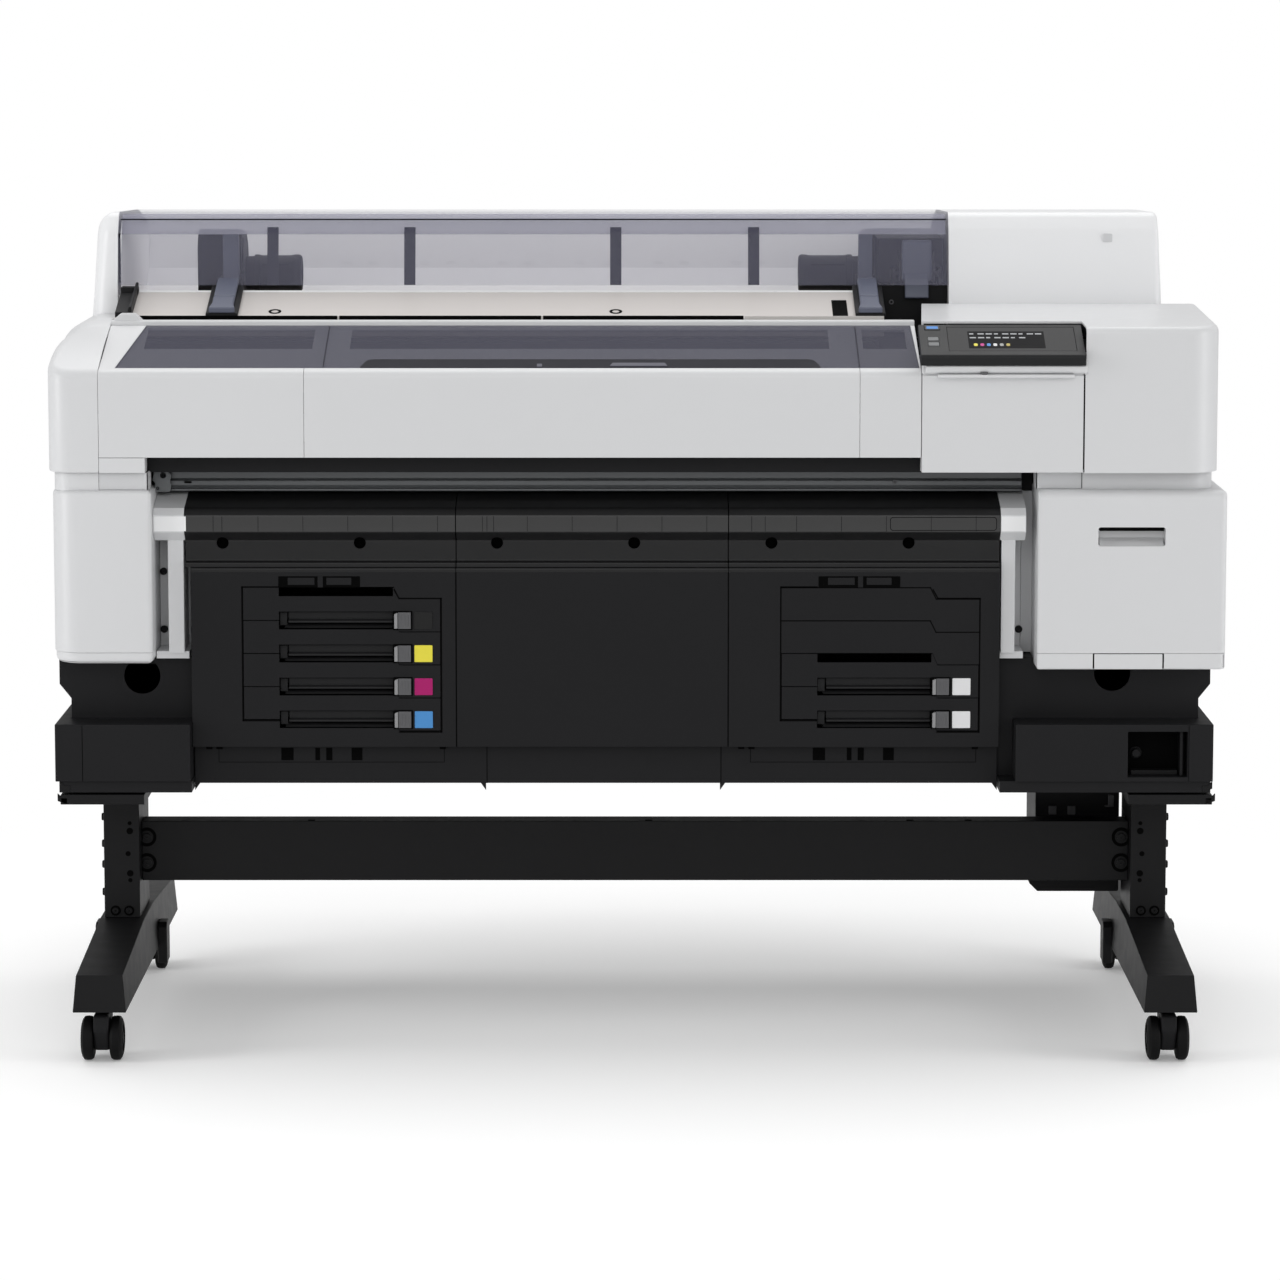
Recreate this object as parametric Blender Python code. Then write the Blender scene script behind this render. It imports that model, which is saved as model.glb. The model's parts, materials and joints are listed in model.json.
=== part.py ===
"""Floor-standing roll-fed inkjet printer with a built-in sheet cutter, on a steel stand with casters.

Metres, +Z up, front towards -Y. The origin is the middle of the footprint, on the floor.
Every sub-part is one closed solid in one named object. Moving pieces have their origin on their
joint's axis. Covers are thin shells over two side frames, which carry the rails and rollers.
"""
import math

import bmesh
import bpy
from mathutils import Matrix, Vector

# ---- driving dimensions -------------------------------------------------------------------
WIDTH = 1.608           # across the side covers
DEPTH = 0.917           # front of the feet to back of the roll cover
GAP = 0.0003            # between pieces that touch
SEAM = 0.0005           # between neighbouring covers
SHELL = 0.003           # moulded cover wall
SHEET = 0.003           # bent sheet metal

# ---- stations across the width ------------------------------------------------------------
LEFT = -WIDTH / 2
RIGHT = WIDTH / 2
LEFT_FOOT_X = LEFT + 0.0793
RIGHT_FOOT_X = RIGHT - 0.0859
LEFT_FRAME_IN = LEFT + 0.1925      # inner face of the left side frame
RIGHT_FRAME_IN = RIGHT - 0.3070
FRONT_COVER_X = (LEFT + 0.3510, RIGHT - 0.5020)
ACCESS_X = (RIGHT - 0.4180, RIGHT - 0.1975)   # access cover and control panel
UPPER_LEFT_IN = LEFT + 0.0710      # where the left upper cover meets the surround
LEFT_CAP_X = (LEFT + 0.0250, LEFT + 0.0650)   # white end cap of the roll bay
ROLL_RIGHT = RIGHT - 0.3610        # where the roll cover meets the rear box
REAR_BOX_OUT = RIGHT - 0.0540
LEFT_BAY_X = (LEFT + 0.1920, LEFT + 0.5550)
RIGHT_BAY_X = (RIGHT - 0.6790, RIGHT - 0.3070)
LEFT_DRAWER_X = LEFT + 0.2630
RIGHT_DRAWER_X = RIGHT - 0.6064
GUIDE_X = (LEFT + 0.1850, RIGHT - 0.3080)

# ---- stations front to back ---------------------------------------------------------------
FRONT = -DEPTH / 2
BACK = DEPTH / 2
FACE_Y = FRONT + 0.1510            # front faces of the covers
CABINET_Y = FACE_Y + 0.0275        # front face of the ink cabinet
FRAME_Y = FACE_Y + 0.0575          # front face of the side frames, low down
NECK_Y = FACE_Y + 0.1075           # and behind the exit guide
BODY_BACK = BACK - 0.1785
ROLL_Y = FACE_Y + 0.3195           # lower front edge of the roll cover

# ---- stand --------------------------------------------------------------------------------
FOOT_LENGTH = 0.720
FOOT_BOTTOM = 0.073
FOOT_TOP = 0.144
FOOT_WIDTH = (0.072, 0.063)        # at the bottom and at the top
POST_SIZE = (0.050, 0.128)
POST_Y = FRONT + 0.298             # front face of the post
STAND_TOP = 0.3437
PLATE = 0.0137                     # top plate of the stand
BEAM_Z = (0.192, 0.277)
BEAM_DEPTH = 0.039
BEAM_SETBACK = 0.030               # beam front behind the post's front
WHEEL_RADIUS = 0.030
WHEEL_WIDTH = 0.017
FORK_WIDTH = 0.0214
TRAIL = 0.018                      # axle to swivel axis
FRONT_AXLE_Y = FRONT + 0.040
REAR_AXLE_Y = FRONT + FOOT_LENGTH - 0.040

# ---- body, bottom to top ------------------------------------------------------------------
PAN_Z = (STAND_TOP + 0.003, STAND_TOP + 0.0188)
BASE_TOP = PAN_Z[1] + 0.0795       # black base covers
CABINET_Z = (PAN_Z[1] + 0.0441, PAN_Z[1] + 0.2925)
LEFT_LOWER_Z = (BASE_TOP + 0.0835, BASE_TOP + 0.3220)
RIGHT_LOWER_Z = (BASE_TOP + 0.0760, BASE_TOP + 0.3220)
DOOR_BOTTOM = RIGHT_LOWER_Z[0] + 0.0225
FRAME_TOP = LEFT_LOWER_Z[1] + 0.0210
FRAME_SHOULDER = BASE_TOP + 0.0845   # where the side frames step back behind the exit guide
UPPER_Z = LEFT_LOWER_Z[1] + 0.0240
COVER_BOTTOM = UPPER_Z + 0.0210    # lower edge of the front cover
FACE_TOP = COVER_BOTTOM + 0.1080
BROW = (0.0115, 0.0120)            # set-back and rise of the rounded brow
SLOPE_RUN = 0.1560
HINGE_CLEARANCE = 0.0035           # behind the front cover, for its turning edge
SLOPE_RISE = 0.0460
LEDGE_TOP = FACE_TOP + 0.0670
RIGHT_TOP = (FACE_TOP + 0.0695, FACE_TOP + 0.0830)   # front and back of the right unit's top
ROLL_BOTTOM = FACE_TOP + 0.1075
ROLL_TOP = FACE_TOP + 0.2100

# ---- ink drawers --------------------------------------------------------------------------
DRAWER_WIDTH = 0.2710
DRAWER_PITCH = 0.0458
DRAWER_TOP = CABINET_Z[1] - 0.0271
DRAWER_STEP = (0.2073, 0.2142, 0.0158)   # start, end and drop of the step in the fascia
GRIP_X = (0.0494, 0.2060)
GRIP_HEIGHT = 0.0118
FASCIA = 0.004
DRAWER_BACK = CABINET_Y + 0.250
ROWS = 4
RIGHT_FIRST_ROW = 2

# ---- print path ---------------------------------------------------------------------------
PLATEN_Y = (FACE_Y + 0.0355, FACE_Y + 0.1725)
PLATEN_TOP = FRAME_TOP + 0.0270
RAIL_Y = (FACE_Y + 0.1525, FACE_Y + 0.1795)
RAIL_Z = (PLATEN_TOP + 0.0730, PLATEN_TOP + 0.1230)
FEED_Y = FACE_Y + 0.1925
FEED_RADIUS = 0.013
FEED_Z = PLATEN_TOP - 0.0120
PINCH_RADIUS = 0.006
JOURNAL = 0.005
SIDE_PLATE = (LEFT + 0.0360, RIGHT - 0.0400)   # inner faces of the side plates
BELT_RADIUS = 0.010
BELT = 0.0015

# ---- materials: colour, roughness, metallic ------------------------------------------------
WHITE = ("white_plastic", (0.80, 0.80, 0.81), 0.40, 0.0)
BLACK = ("black_plastic", (0.020, 0.020, 0.021), 0.50, 0.0)
BLACK_STEEL = ("black_steel", (0.018, 0.018, 0.019), 0.45, 0.0)
RAIL_GREY = ("grey_rail", (0.12, 0.13, 0.13), 0.35, 0.8)
STEEL = ("steel", (0.55, 0.56, 0.57), 0.30, 1.0)
TINTED = ("tinted_plastic", (0.10, 0.10, 0.15), 0.10, 0.0)
BOARD = ("board_plastic", (0.70, 0.67, 0.64), 0.45, 0.0)
RUBBER = ("rubber", (0.012, 0.012, 0.012), 0.70, 0.0)
GUNMETAL = ("blue_grey_plastic", (0.10, 0.11, 0.16), 0.40, 0.0)
PANEL = ("panel_plastic", (0.045, 0.047, 0.050), 0.30, 0.0)


# ---- mesh helpers -------------------------------------------------------------------------
def remove_everything():
    for old in list(bpy.data.objects):
        bpy.data.objects.remove(old, do_unlink=True)


def new_object(bm, name="shape"):
    bmesh.ops.recalc_face_normals(bm, faces=bm.faces)
    mesh = bpy.data.meshes.new(name)
    bm.to_mesh(mesh)
    bm.free()
    obj = bpy.data.objects.new(name, mesh)
    bpy.context.scene.collection.objects.link(obj)
    return obj


def prism(axis, outline, low, high):
    """Extrude an outline along an axis. The outline holds the other two coordinates, in X, Y, Z order."""
    place = {"X": lambda u, v, w: (w, u, v), "Y": lambda u, v, w: (u, w, v), "Z": lambda u, v, w: (u, v, w)}
    bm = bmesh.new()
    ends = [[bm.verts.new(place[axis](u, v, w)) for u, v in outline] for w in (low, high)]
    bm.faces.new(ends[0])
    bm.faces.new(ends[1])
    count = len(outline)
    for i in range(count):
        j = (i + 1) % count
        bm.faces.new((ends[0][i], ends[0][j], ends[1][j], ends[1][i]))
    return new_object(bm)


def block(x, y, z):
    return prism("Z", [(x[0], y[0]), (x[1], y[0]), (x[1], y[1]), (x[0], y[1])], z[0], z[1])


def circle(centre, radius, count=24):
    turns = [2 * math.pi * i / count for i in range(count)]
    return [(centre[0] + radius * math.cos(t), centre[1] + radius * math.sin(t)) for t in turns]


def rod(axis, centre, radius, low, high, count=24):
    return prism(axis, circle(centre, radius, count), low, high)


def turned(profile, centre, count=20):
    """Turn a closed profile of (along X, radius) points about the X axis through centre."""
    bm = bmesh.new()
    verts = [bm.verts.new((x, 0, radius)) for x, radius in profile]
    edges = [bm.edges.new(pair) for pair in zip(verts, verts[1:])]
    bmesh.ops.spin(bm, geom=verts + edges, cent=(0, 0, 0), axis=(1, 0, 0), angle=2 * math.pi,
                   steps=count, use_merge=True, use_duplicate=False)
    bmesh.ops.remove_doubles(bm, verts=bm.verts, dist=0.00001)
    bmesh.ops.translate(bm, verts=bm.verts, vec=centre)
    return new_object(bm)


def combine(base, tools, operation):
    """Apply a Boolean of each tool to the base, and remove the tools."""
    for tool in tools:
        step = base.modifiers.new("step", "BOOLEAN")
        step.operation = operation
        step.solver = "EXACT"
        step.object = tool
        bpy.context.view_layer.update()
        graph = bpy.context.evaluated_depsgraph_get()
        mesh = bpy.data.meshes.new_from_object(base.evaluated_get(graph))
        base.modifiers.clear()
        base.data = mesh
        bpy.data.objects.remove(tool, do_unlink=True)
    return base


def cut(base, *tools):
    return combine(base, tools, "DIFFERENCE")


def join(base, *tools):
    return combine(base, tools, "UNION")


def grown(box, amount):
    """A range made longer by the amount at both ends (or shorter, if negative)."""
    return (box[0] - amount, box[1] + amount)


def sheet(points, thickness):
    """Outline of a bent sheet: the points are its outer skin, and the wall lies to their left."""
    path = [Vector(p) for p in points]
    inner = []
    for i, point in enumerate(path):
        before = (point - path[i - 1]).normalized() if i else None
        after = (path[i + 1] - point).normalized() if i + 1 < len(path) else None
        one, two = before or after, after or before
        side = (Vector((-one.y, one.x)) + Vector((-two.y, two.x))).normalized()
        inner.append(point + side * thickness / side.dot(Vector((-one.y, one.x))))
    return [tuple(p) for p in path] + [tuple(p) for p in reversed(inner)]


def material(kind):
    name, colour, roughness, metallic = kind
    found = bpy.data.materials.get(name)
    if found:
        return found
    made = bpy.data.materials.new(name)
    made.use_nodes = True
    shader = made.node_tree.nodes["Principled BSDF"]
    shader.inputs["Base Color"].default_value = (*colour, 1)
    shader.inputs["Roughness"].default_value = roughness
    shader.inputs["Metallic"].default_value = metallic
    return made


def node(name, obj, kind, pivot=None, smooth=False):
    """Name a finished sub-part, give it its material and put its origin on its pivot."""
    obj.name = name
    obj.data.name = name
    obj.data.materials.clear()
    obj.data.materials.append(material(kind))
    if pivot:
        obj.data.transform(Matrix.Translation(-Vector(pivot)))
        obj.location = pivot
    if smooth:
        obj.data.shade_smooth()
        obj.data.set_sharp_from_angle(angle=math.radians(35))
    return obj


# ---- stand --------------------------------------------------------------------------------
def foot(name, x):
    toe = 0.006
    end = FRONT + FOOT_LENGTH
    side = [(FRONT, FOOT_BOTTOM), (end, FOOT_BOTTOM), (end - toe, FOOT_TOP - 0.0185),
            (POST_Y + POST_SIZE[1] + 0.002, FOOT_TOP), (POST_Y - 0.002, FOOT_TOP),
            (FRONT + toe, FOOT_TOP - 0.021)]
    obj = prism("X", side, -FOOT_WIDTH[0] / 2, FOOT_WIDTH[0] / 2)
    for vert in obj.data.vertices:
        if vert.co.z > FOOT_BOTTOM + 0.01:
            vert.co.x *= FOOT_WIDTH[1] / FOOT_WIDTH[0]
        vert.co.x += x
    node(name, obj, BLACK_STEEL)


def post(name, x, plate_x):
    half = POST_SIZE[0] / 2
    y = (POST_Y, POST_Y + POST_SIZE[1])
    plate_z = (STAND_TOP - PLATE, STAND_TOP)
    obj = block((x - half, x + half), y, (FOOT_TOP + GAP, STAND_TOP - PLATE / 2))
    obj = join(obj, block(plate_x, (FACE_Y + 0.005, FACE_Y + 0.5075), plate_z))
    wall = -SHEET
    obj = cut(obj, block(grown((x - half, x + half), wall), grown(y, wall), (FOOT_TOP - 0.01, plate_z[0])))
    node(name, obj, BLACK_STEEL)


def cross_beam():
    half = POST_SIZE[0] / 2 + GAP
    x = (LEFT_FOOT_X + half, RIGHT_FOOT_X - half)
    y = (POST_Y + BEAM_SETBACK, POST_Y + BEAM_SETBACK + BEAM_DEPTH)
    obj = block(x, y, BEAM_Z)
    obj = cut(obj, block(grown(x, 0.01), grown(y, -0.002), grown(BEAM_Z, -0.002)))
    node("cross_beam", obj, BLACK_STEEL)


def caster(place, x, axle_y):
    """A swivelling fork, and its twin wheel with the axle that passes through it."""
    swivel = (x, axle_y + TRAIL, 0.0)
    half = FORK_WIDTH / 2
    side = [(-0.012, 0.020), (0.006, 0.020), (0.030, 0.042), (0.034, 0.066), (-0.022, 0.066), (-0.026, 0.046)]
    fork = prism("X", [(axle_y + y, z) for y, z in side], x - half, x + half)
    fork = join(fork, rod("Z", swivel[:2], 0.017, 0.064, FOOT_BOTTOM - GAP, 20))
    fork = cut(fork, rod("X", (axle_y, WHEEL_RADIUS), JOURNAL - GAP + 0.0006, x - 0.05, x + 0.05, 16))
    node("caster_fork_" + place, fork, BLACK, swivel)
    inner = half + GAP
    outer = inner + WHEEL_WIDTH
    side = [(outer, 0), (outer, 0.022), (outer - 0.0025, WHEEL_RADIUS), (inner + 0.0025, WHEEL_RADIUS),
            (inner, 0.026), (inner, JOURNAL - GAP)]
    profile = [(-along, radius) for along, radius in side]
    profile += [(along, radius) for along, radius in reversed(side)]
    wheels = turned(profile, (x, axle_y, WHEEL_RADIUS))
    node("caster_wheels_" + place, wheels, RUBBER, (x, axle_y, WHEEL_RADIUS), smooth=True)


def stand():
    foot("left_foot", LEFT_FOOT_X)
    foot("right_foot", RIGHT_FOOT_X)
    post("left_post", LEFT_FOOT_X, (LEFT + 0.012, LEFT + 0.127))
    post("right_post", RIGHT_FOOT_X, (RIGHT - 0.130, RIGHT - 0.015))
    cross_beam()
    for side, x in (("left", LEFT_FOOT_X), ("right", RIGHT_FOOT_X)):
        caster("front_" + side, x, FRONT_AXLE_Y)
        caster("rear_" + side, x, REAR_AXLE_Y - 2 * TRAIL)


# ---- base and side frames -----------------------------------------------------------------
def side_frame(name, sign, low_x, flare_x, inner_x, plate_x, hole):
    """Sheet-metal column on its pan. sign is -1 on the left and +1 on the right."""
    def span(a, b):
        return (min(a, b), max(a, b))
    step_z = (BASE_TOP + 0.028, BASE_TOP + 0.048)
    top_x = flare_x - sign * 0.007
    bend_z = LEFT_LOWER_Z[0] - 0.0015 if sign < 0 else RIGHT_LOWER_Z[0] - 0.0015
    side = [(inner_x, PAN_Z[0] + 0.002), (low_x, PAN_Z[0] + 0.002), (low_x, step_z[0]), (flare_x, step_z[1]),
            (flare_x, bend_z), (top_x, bend_z), (top_x, FRAME_SHOULDER), (inner_x, FRAME_SHOULDER)]
    obj = prism("Y", side, FRAME_Y, BODY_BACK)
    obj = join(obj, block(span(top_x, inner_x), (NECK_Y, BODY_BACK), (FRAME_SHOULDER - 0.01, FRAME_TOP)))
    obj = join(obj, block(span(flare_x - sign * 0.004, inner_x), (FACE_Y + 0.006, BODY_BACK - 0.01), PAN_Z))
    plate_back = BODY_BACK - 0.006
    plate_top = RAIL_Z[1] + 0.017
    plate = [(PLATEN_Y[0], FRAME_TOP - 0.01), (PLATEN_Y[0], PLATEN_TOP + 0.100),
             (RAIL_Y[0] - 0.015, plate_top), (plate_back, plate_top), (plate_back, FRAME_TOP - 0.01)]
    obj = join(obj, prism("X", plate, *span(plate_x, plate_x + sign * 0.004)))
    for pad_y in (FRAME_Y + 0.05, BODY_BACK - 0.14):
        pad_x = flare_x - sign * 0.09
        pad_z = (STAND_TOP + GAP, PAN_Z[0] + 0.002)
        obj = join(obj, block(span(pad_x, pad_x + sign * 0.03), (pad_y, pad_y + 0.05), pad_z))
    wall = SHEET
    inside = span(low_x - sign * wall, inner_x + sign * wall)
    obj = cut(obj, block(inside, (FRAME_Y + wall, BODY_BACK + 0.01), (PAN_Z[1], FRAME_SHOULDER - 0.012)))
    inside = span(top_x - sign * wall, inner_x + sign * wall)
    above = (FRAME_SHOULDER - 0.014, FRAME_TOP - wall)
    obj = cut(obj, block(inside, (NECK_Y + wall, BODY_BACK + 0.01), above))
    obj = cut(obj, rod("Y", hole, 0.025, FRAME_Y - 0.01, FRAME_Y + 0.02))
    obj = cut(obj, rod("X", (FEED_Y, FEED_Z), JOURNAL + GAP, plate_x - 0.02, plate_x + 0.02, 16))
    node(name, obj, BLACK)


def base_beam():
    x = (LEFT_FRAME_IN + GAP, RIGHT_FRAME_IN - GAP)
    z = (PAN_Z[0] + 0.0063, CABINET_Z[0] - GAP)
    y = (FACE_Y + 0.0475, BODY_BACK)
    obj = block(x, y, z)
    obj = cut(obj, block(grown(x, -SHEET), (y[0] + SHEET, y[1] + 0.01), grown(z, -SHEET)))
    node("base_beam", obj, BLACK)


def base_cover(name, outer_x, inner_x, side_x, pocket=None):
    """Black box cover round the foot of a side frame: a front wall and one outer side wall."""
    z = (PAN_Z[1] + GAP, BASE_TOP)
    x = (min(outer_x, inner_x), max(outer_x, inner_x))
    obj = block(x, (FACE_Y, BODY_BACK - 0.012), z)
    front = grown(x, -SHELL)
    obj = cut(obj, block(front, (FACE_Y + SHELL, FRAME_Y + 0.01), (z[0] - 0.01, z[1] - SHELL)))
    wall_x = side_x + (-GAP if outer_x < 0 else GAP)
    behind = (wall_x, inner_x + 0.05) if outer_x < 0 else (inner_x - 0.05, wall_x)
    obj = cut(obj, block(behind, (FRAME_Y - GAP, BODY_BACK), (z[0] - 0.01, z[1] + 0.01)))
    if pocket:
        pocket_back = FACE_Y + 0.040
        shell = block(grown(pocket[0], SHELL), (FACE_Y + SHELL / 2, pocket_back), grown(pocket[1], SHELL))
        obj = cut(join(obj, shell), block(pocket[0], (FACE_Y - 0.01, pocket_back - SHELL), pocket[1]))
    node(name, obj, BLACK)


def waste_ink_unit():
    x = (RIGHT - 0.237, RIGHT - 0.131)
    y = (POST_Y + POST_SIZE[1] + 0.002, POST_Y + 0.280)
    top = PAN_Z[0] - GAP
    obj = block(x, y, (BEAM_Z[1] + 0.023, top))
    obj = join(obj, block((x[0] - 0.008, x[1] + 0.018), y, (BEAM_Z[0] - 0.035, BEAM_Z[1] + 0.025)))
    node("waste_ink_unit", obj, BLACK)


def bulge_points():
    """Outer skin of the back of the roll bay, from the roll cover's hinge down to the back panel."""
    return [(BACK, FACE_TOP + 0.060), (BODY_BACK + SHELL + 2 * GAP, FACE_TOP - 0.010)]


def rear_cover():
    """Back panel, with the bulge that carries the roll bay."""
    y = BODY_BACK + GAP
    obj = block((LEFT + 0.004, RIGHT - 0.001), (y, y + SHELL), (PAN_Z[1] + GAP, FACE_TOP + 0.005))
    top = (BACK, ROLL_BOTTOM + 0.0073)
    bulge = prism("X", sheet([top] + bulge_points() + [(y + 0.001, FACE_TOP - 0.012)], -SHELL),
                  LEFT_CAP_X[1] + SEAM, ROLL_RIGHT - SEAM)
    bulge = cut(bulge, block((LEFT, RIGHT), (y - 0.02, y), (FACE_TOP - 0.05, FACE_TOP + 0.05)))
    node("rear_cover", join(obj, bulge), BLACK)


def base():
    side_frame("left_frame", -1, LEFT + 0.0226, LEFT + 0.0066, LEFT_FRAME_IN, SIDE_PLATE[0],
               (LEFT + 0.1210, BASE_TOP + 0.059))
    side_frame("right_frame", 1, RIGHT - 0.0295, RIGHT - 0.0135, RIGHT_FRAME_IN, SIDE_PLATE[1],
               (RIGHT - 0.1490, BASE_TOP + 0.063))
    base_beam()
    base_cover("left_base_cover", LEFT + 0.006, LEFT_BAY_X[0] - SEAM, LEFT + 0.0226)
    pocket = ((RIGHT - 0.132, RIGHT - 0.0502), (PAN_Z[1] + 0.0064, BASE_TOP - 0.0102))
    base_cover("right_base_cover", RIGHT - 0.015, RIGHT - 0.286, RIGHT - 0.0295, pocket)
    waste_ink_unit()
    rear_cover()


# ---- ink cabinet --------------------------------------------------------------------------
def row_top(row):
    return DRAWER_TOP - row * DRAWER_PITCH


def fascia_outline(x, low, high, inset, grips=True):
    """Stepped front of a drawer, or of a group of rows, with a finger notch above and below."""
    start, end, drop = DRAWER_STEP
    left, right = x + inset, x + DRAWER_WIDTH - inset
    low, high = low + inset, high - inset
    step = [(x + start, low), (x + end, low - drop), (right, low - drop), (right, high - drop),
            (x + end, high - drop), (x + start, high)]
    if not grips:
        return [(left, low)] + step + [(left, high)]
    a, b = x + GRIP_X[0], x + GRIP_X[1]
    below = [(left, low), (a, low), (a, low + GRIP_HEIGHT), (b, low + GRIP_HEIGHT), (b, low)]
    above = [(b, high), (b, high - GRIP_HEIGHT), (a, high - GRIP_HEIGHT), (a, high), (left, high)]
    return below + step + above


def drawer(name, x, row):
    low, high = row_top(row + 1), row_top(row)
    obj = prism("Y", fascia_outline(x, low, high, SEAM), CABINET_Y, CABINET_Y + FASCIA)
    tray_x = (x, x + DRAWER_WIDTH)
    tray_y = (CABINET_Y + 0.018, DRAWER_BACK)
    tray_z = (low + 0.002, high - DRAWER_STEP[2] - 0.0012)
    for lug in ((x + 0.004, x + 0.030), (x + DRAWER_WIDTH - 0.034, x + DRAWER_WIDTH - 0.008)):
        obj = join(obj, block(lug, (CABINET_Y + 0.002, tray_y[0] + 0.001), (low + 0.005, high - 0.020)))
    obj = join(obj, block(tray_x, tray_y, tray_z))
    wall = -0.002
    obj = cut(obj, block(grown(tray_x, wall), grown(tray_y, wall), (tray_z[0] + 0.002, tray_z[1] + 0.01)))
    node(name, obj, BLACK, (x + DRAWER_WIDTH / 2, CABINET_Y, low))


def ink_bay(name, span, x, first_row):
    """Cabinet front with the sleeve that the drawers slide in."""
    low, high = row_top(ROWS), row_top(first_row)
    drop = DRAWER_STEP[2]
    hole_x = grown((x, x + DRAWER_WIDTH), SEAM)
    hole_z = (low - drop - SEAM, high + SEAM)
    obj = block(span, (CABINET_Y, CABINET_Y + SHEET), CABINET_Z)
    sleeve = block(grown(hole_x, SHEET), (CABINET_Y + 0.001, DRAWER_BACK + 0.008), grown(hole_z, SHEET))
    obj = join(obj, sleeve)
    obj = cut(obj, block(hole_x, (CABINET_Y + SHEET, DRAWER_BACK + 0.02), hole_z))
    outline = fascia_outline(x, low, high, -SEAM, grips=False)
    obj = cut(obj, prism("Y", outline, CABINET_Y - 0.01, CABINET_Y + 0.01))
    grip = (x + GRIP_X[0], x + GRIP_X[1])
    obj = cut(obj, block(grip, (CABINET_Y - 0.01, CABINET_Y + 0.01), (low - GRIP_HEIGHT, low + 0.001)))
    node(name, obj, BLACK)


def center_front_panel():
    x = (LEFT_BAY_X[1] + SEAM, RIGHT_BAY_X[0] - SEAM)
    flange = CABINET_Y + 0.040
    path = [(x[0], flange), (x[0], CABINET_Y), (x[1], CABINET_Y), (x[1], flange)]
    node("center_front_panel", prism("Z", sheet(path, SHEET), *CABINET_Z), BLACK)


def ink_cabinet():
    ink_bay("left_ink_bay", LEFT_BAY_X, LEFT_DRAWER_X, 0)
    ink_bay("right_ink_bay", RIGHT_BAY_X, RIGHT_DRAWER_X, RIGHT_FIRST_ROW)
    center_front_panel()
    for row, ink in enumerate(("black", "yellow", "magenta", "cyan")):
        drawer("ink_drawer_" + ink, LEFT_DRAWER_X, row)
    for row, place in ((2, "upper"), (3, "lower")):
        drawer("ink_drawer_white_" + place, RIGHT_DRAWER_X, row)


# ---- film exit ----------------------------------------------------------------------------
def nose_points():
    """Outer skin of the exit guide, from its top back edge down to the cabinet."""
    top = CABINET_Z[1]
    nose = CABINET_Y - 0.010
    foot_y = CABINET_Y + 0.008
    return [(CABINET_Y + 0.060, top + 0.0980), (nose + 0.008, top + 0.0825), (nose, top + 0.0730),
            (nose, top + 0.0500), (foot_y, top + 0.0370), (foot_y, top + 0.0010)]


def exit_guide():
    points = nose_points()
    obj = prism("X", sheet(points, SHEET), *GUIDE_X)
    width = GUIDE_X[1] - GUIDE_X[0]
    for i in range(6):
        centre = (GUIDE_X[0] + width * (2 * i + 1) / 12, CABINET_Z[1] + 0.031)
        obj = cut(obj, rod("Y", centre, 0.0083, CABINET_Y - 0.02, CABINET_Y + 0.03, 12))
    node("exit_guide", obj, BLACK)


def guide_cap(name, x, bar_x, foot_x):
    """White end of the exit guide, with the upright bar below it."""
    top = CABINET_Z[1]
    back = NECK_Y - GAP
    outline = nose_points()[:5] + [(back, top + 0.0370), (back, top + 0.0980)]
    obj = prism("X", outline, *x)
    obj = join(obj, block(bar_x, (CABINET_Y + 0.008, back), (top - 0.119, top + 0.045)))
    obj = join(obj, block(foot_x, (CABINET_Y + 0.012, back), (top - 0.127, top - 0.117)))
    obj = join(obj, block(x, (back - SHEET, back), (top - 0.120, top + 0.045)))
    node(name, obj, WHITE)


def eject_rail():
    """Double rail in front of the platen, over which the cut sheets leave."""
    x = (LEFT + 0.1605, RIGHT - 0.275)
    top = FRAME_TOP
    back = NECK_Y - GAP
    outline = [(back, top - 0.030), (back, top), (back - 0.030, top), (back - 0.034, top - 0.002),
               (back - 0.034, top - 0.011), (back - 0.031, top - 0.013), (back - 0.036, top - 0.0145),
               (back - 0.036, top - 0.021), (back - 0.033, top - 0.024), (back - 0.040, top - 0.026),
               (back - 0.040, top - 0.0285), (back - 0.030, top - 0.030)]
    obj = prism("X", outline, *x)
    end = block((x[0] - 0.016, x[0] + 0.001), (back - 0.012, back), (top - 0.030, top))
    node("eject_rail", join(obj, end), RAIL_GREY)


def film_exit():
    exit_guide()
    guide_cap("left_guide_cap", (LEFT + 0.1425, GUIDE_X[0] - SEAM), (LEFT + 0.1605, LEFT + 0.1817),
              (LEFT + 0.1430, LEFT + 0.1880))
    guide_cap("right_guide_cap", (GUIDE_X[1] + SEAM, RIGHT - 0.2730), (RIGHT - 0.3050, RIGHT - 0.2860),
              (RIGHT - 0.3060, RIGHT - 0.2740))
    eject_rail()


# ---- outer covers -------------------------------------------------------------------------
def slope_points():
    """Outer skin over the print area, from the foot of the face up to the back of the slope."""
    brow_y, brow_z = BROW
    slope = (FACE_Y + brow_y, FACE_TOP + brow_z)
    return [(FACE_Y, COVER_BOTTOM), (FACE_Y, FACE_TOP), (FACE_Y + brow_y * 0.3, FACE_TOP + brow_z * 0.75),
            slope, (slope[0] + SLOPE_RUN, slope[1] + SLOPE_RISE)]


def roll_points():
    """Outer skin of the roll cover, from its front edge over the top to the hinge."""
    return [(ROLL_Y, ROLL_BOTTOM), (ROLL_Y + 0.014, ROLL_TOP - 0.026), (ROLL_Y + 0.024, ROLL_TOP - 0.008),
            (ROLL_Y + 0.040, ROLL_TOP), (BACK - 0.150, ROLL_TOP - 0.008), (BACK - 0.045, ROLL_TOP - 0.030),
            (BACK - 0.012, ROLL_TOP - 0.055), (BACK, ROLL_TOP - 0.080), (BACK, ROLL_BOTTOM + 0.0078)]


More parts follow.
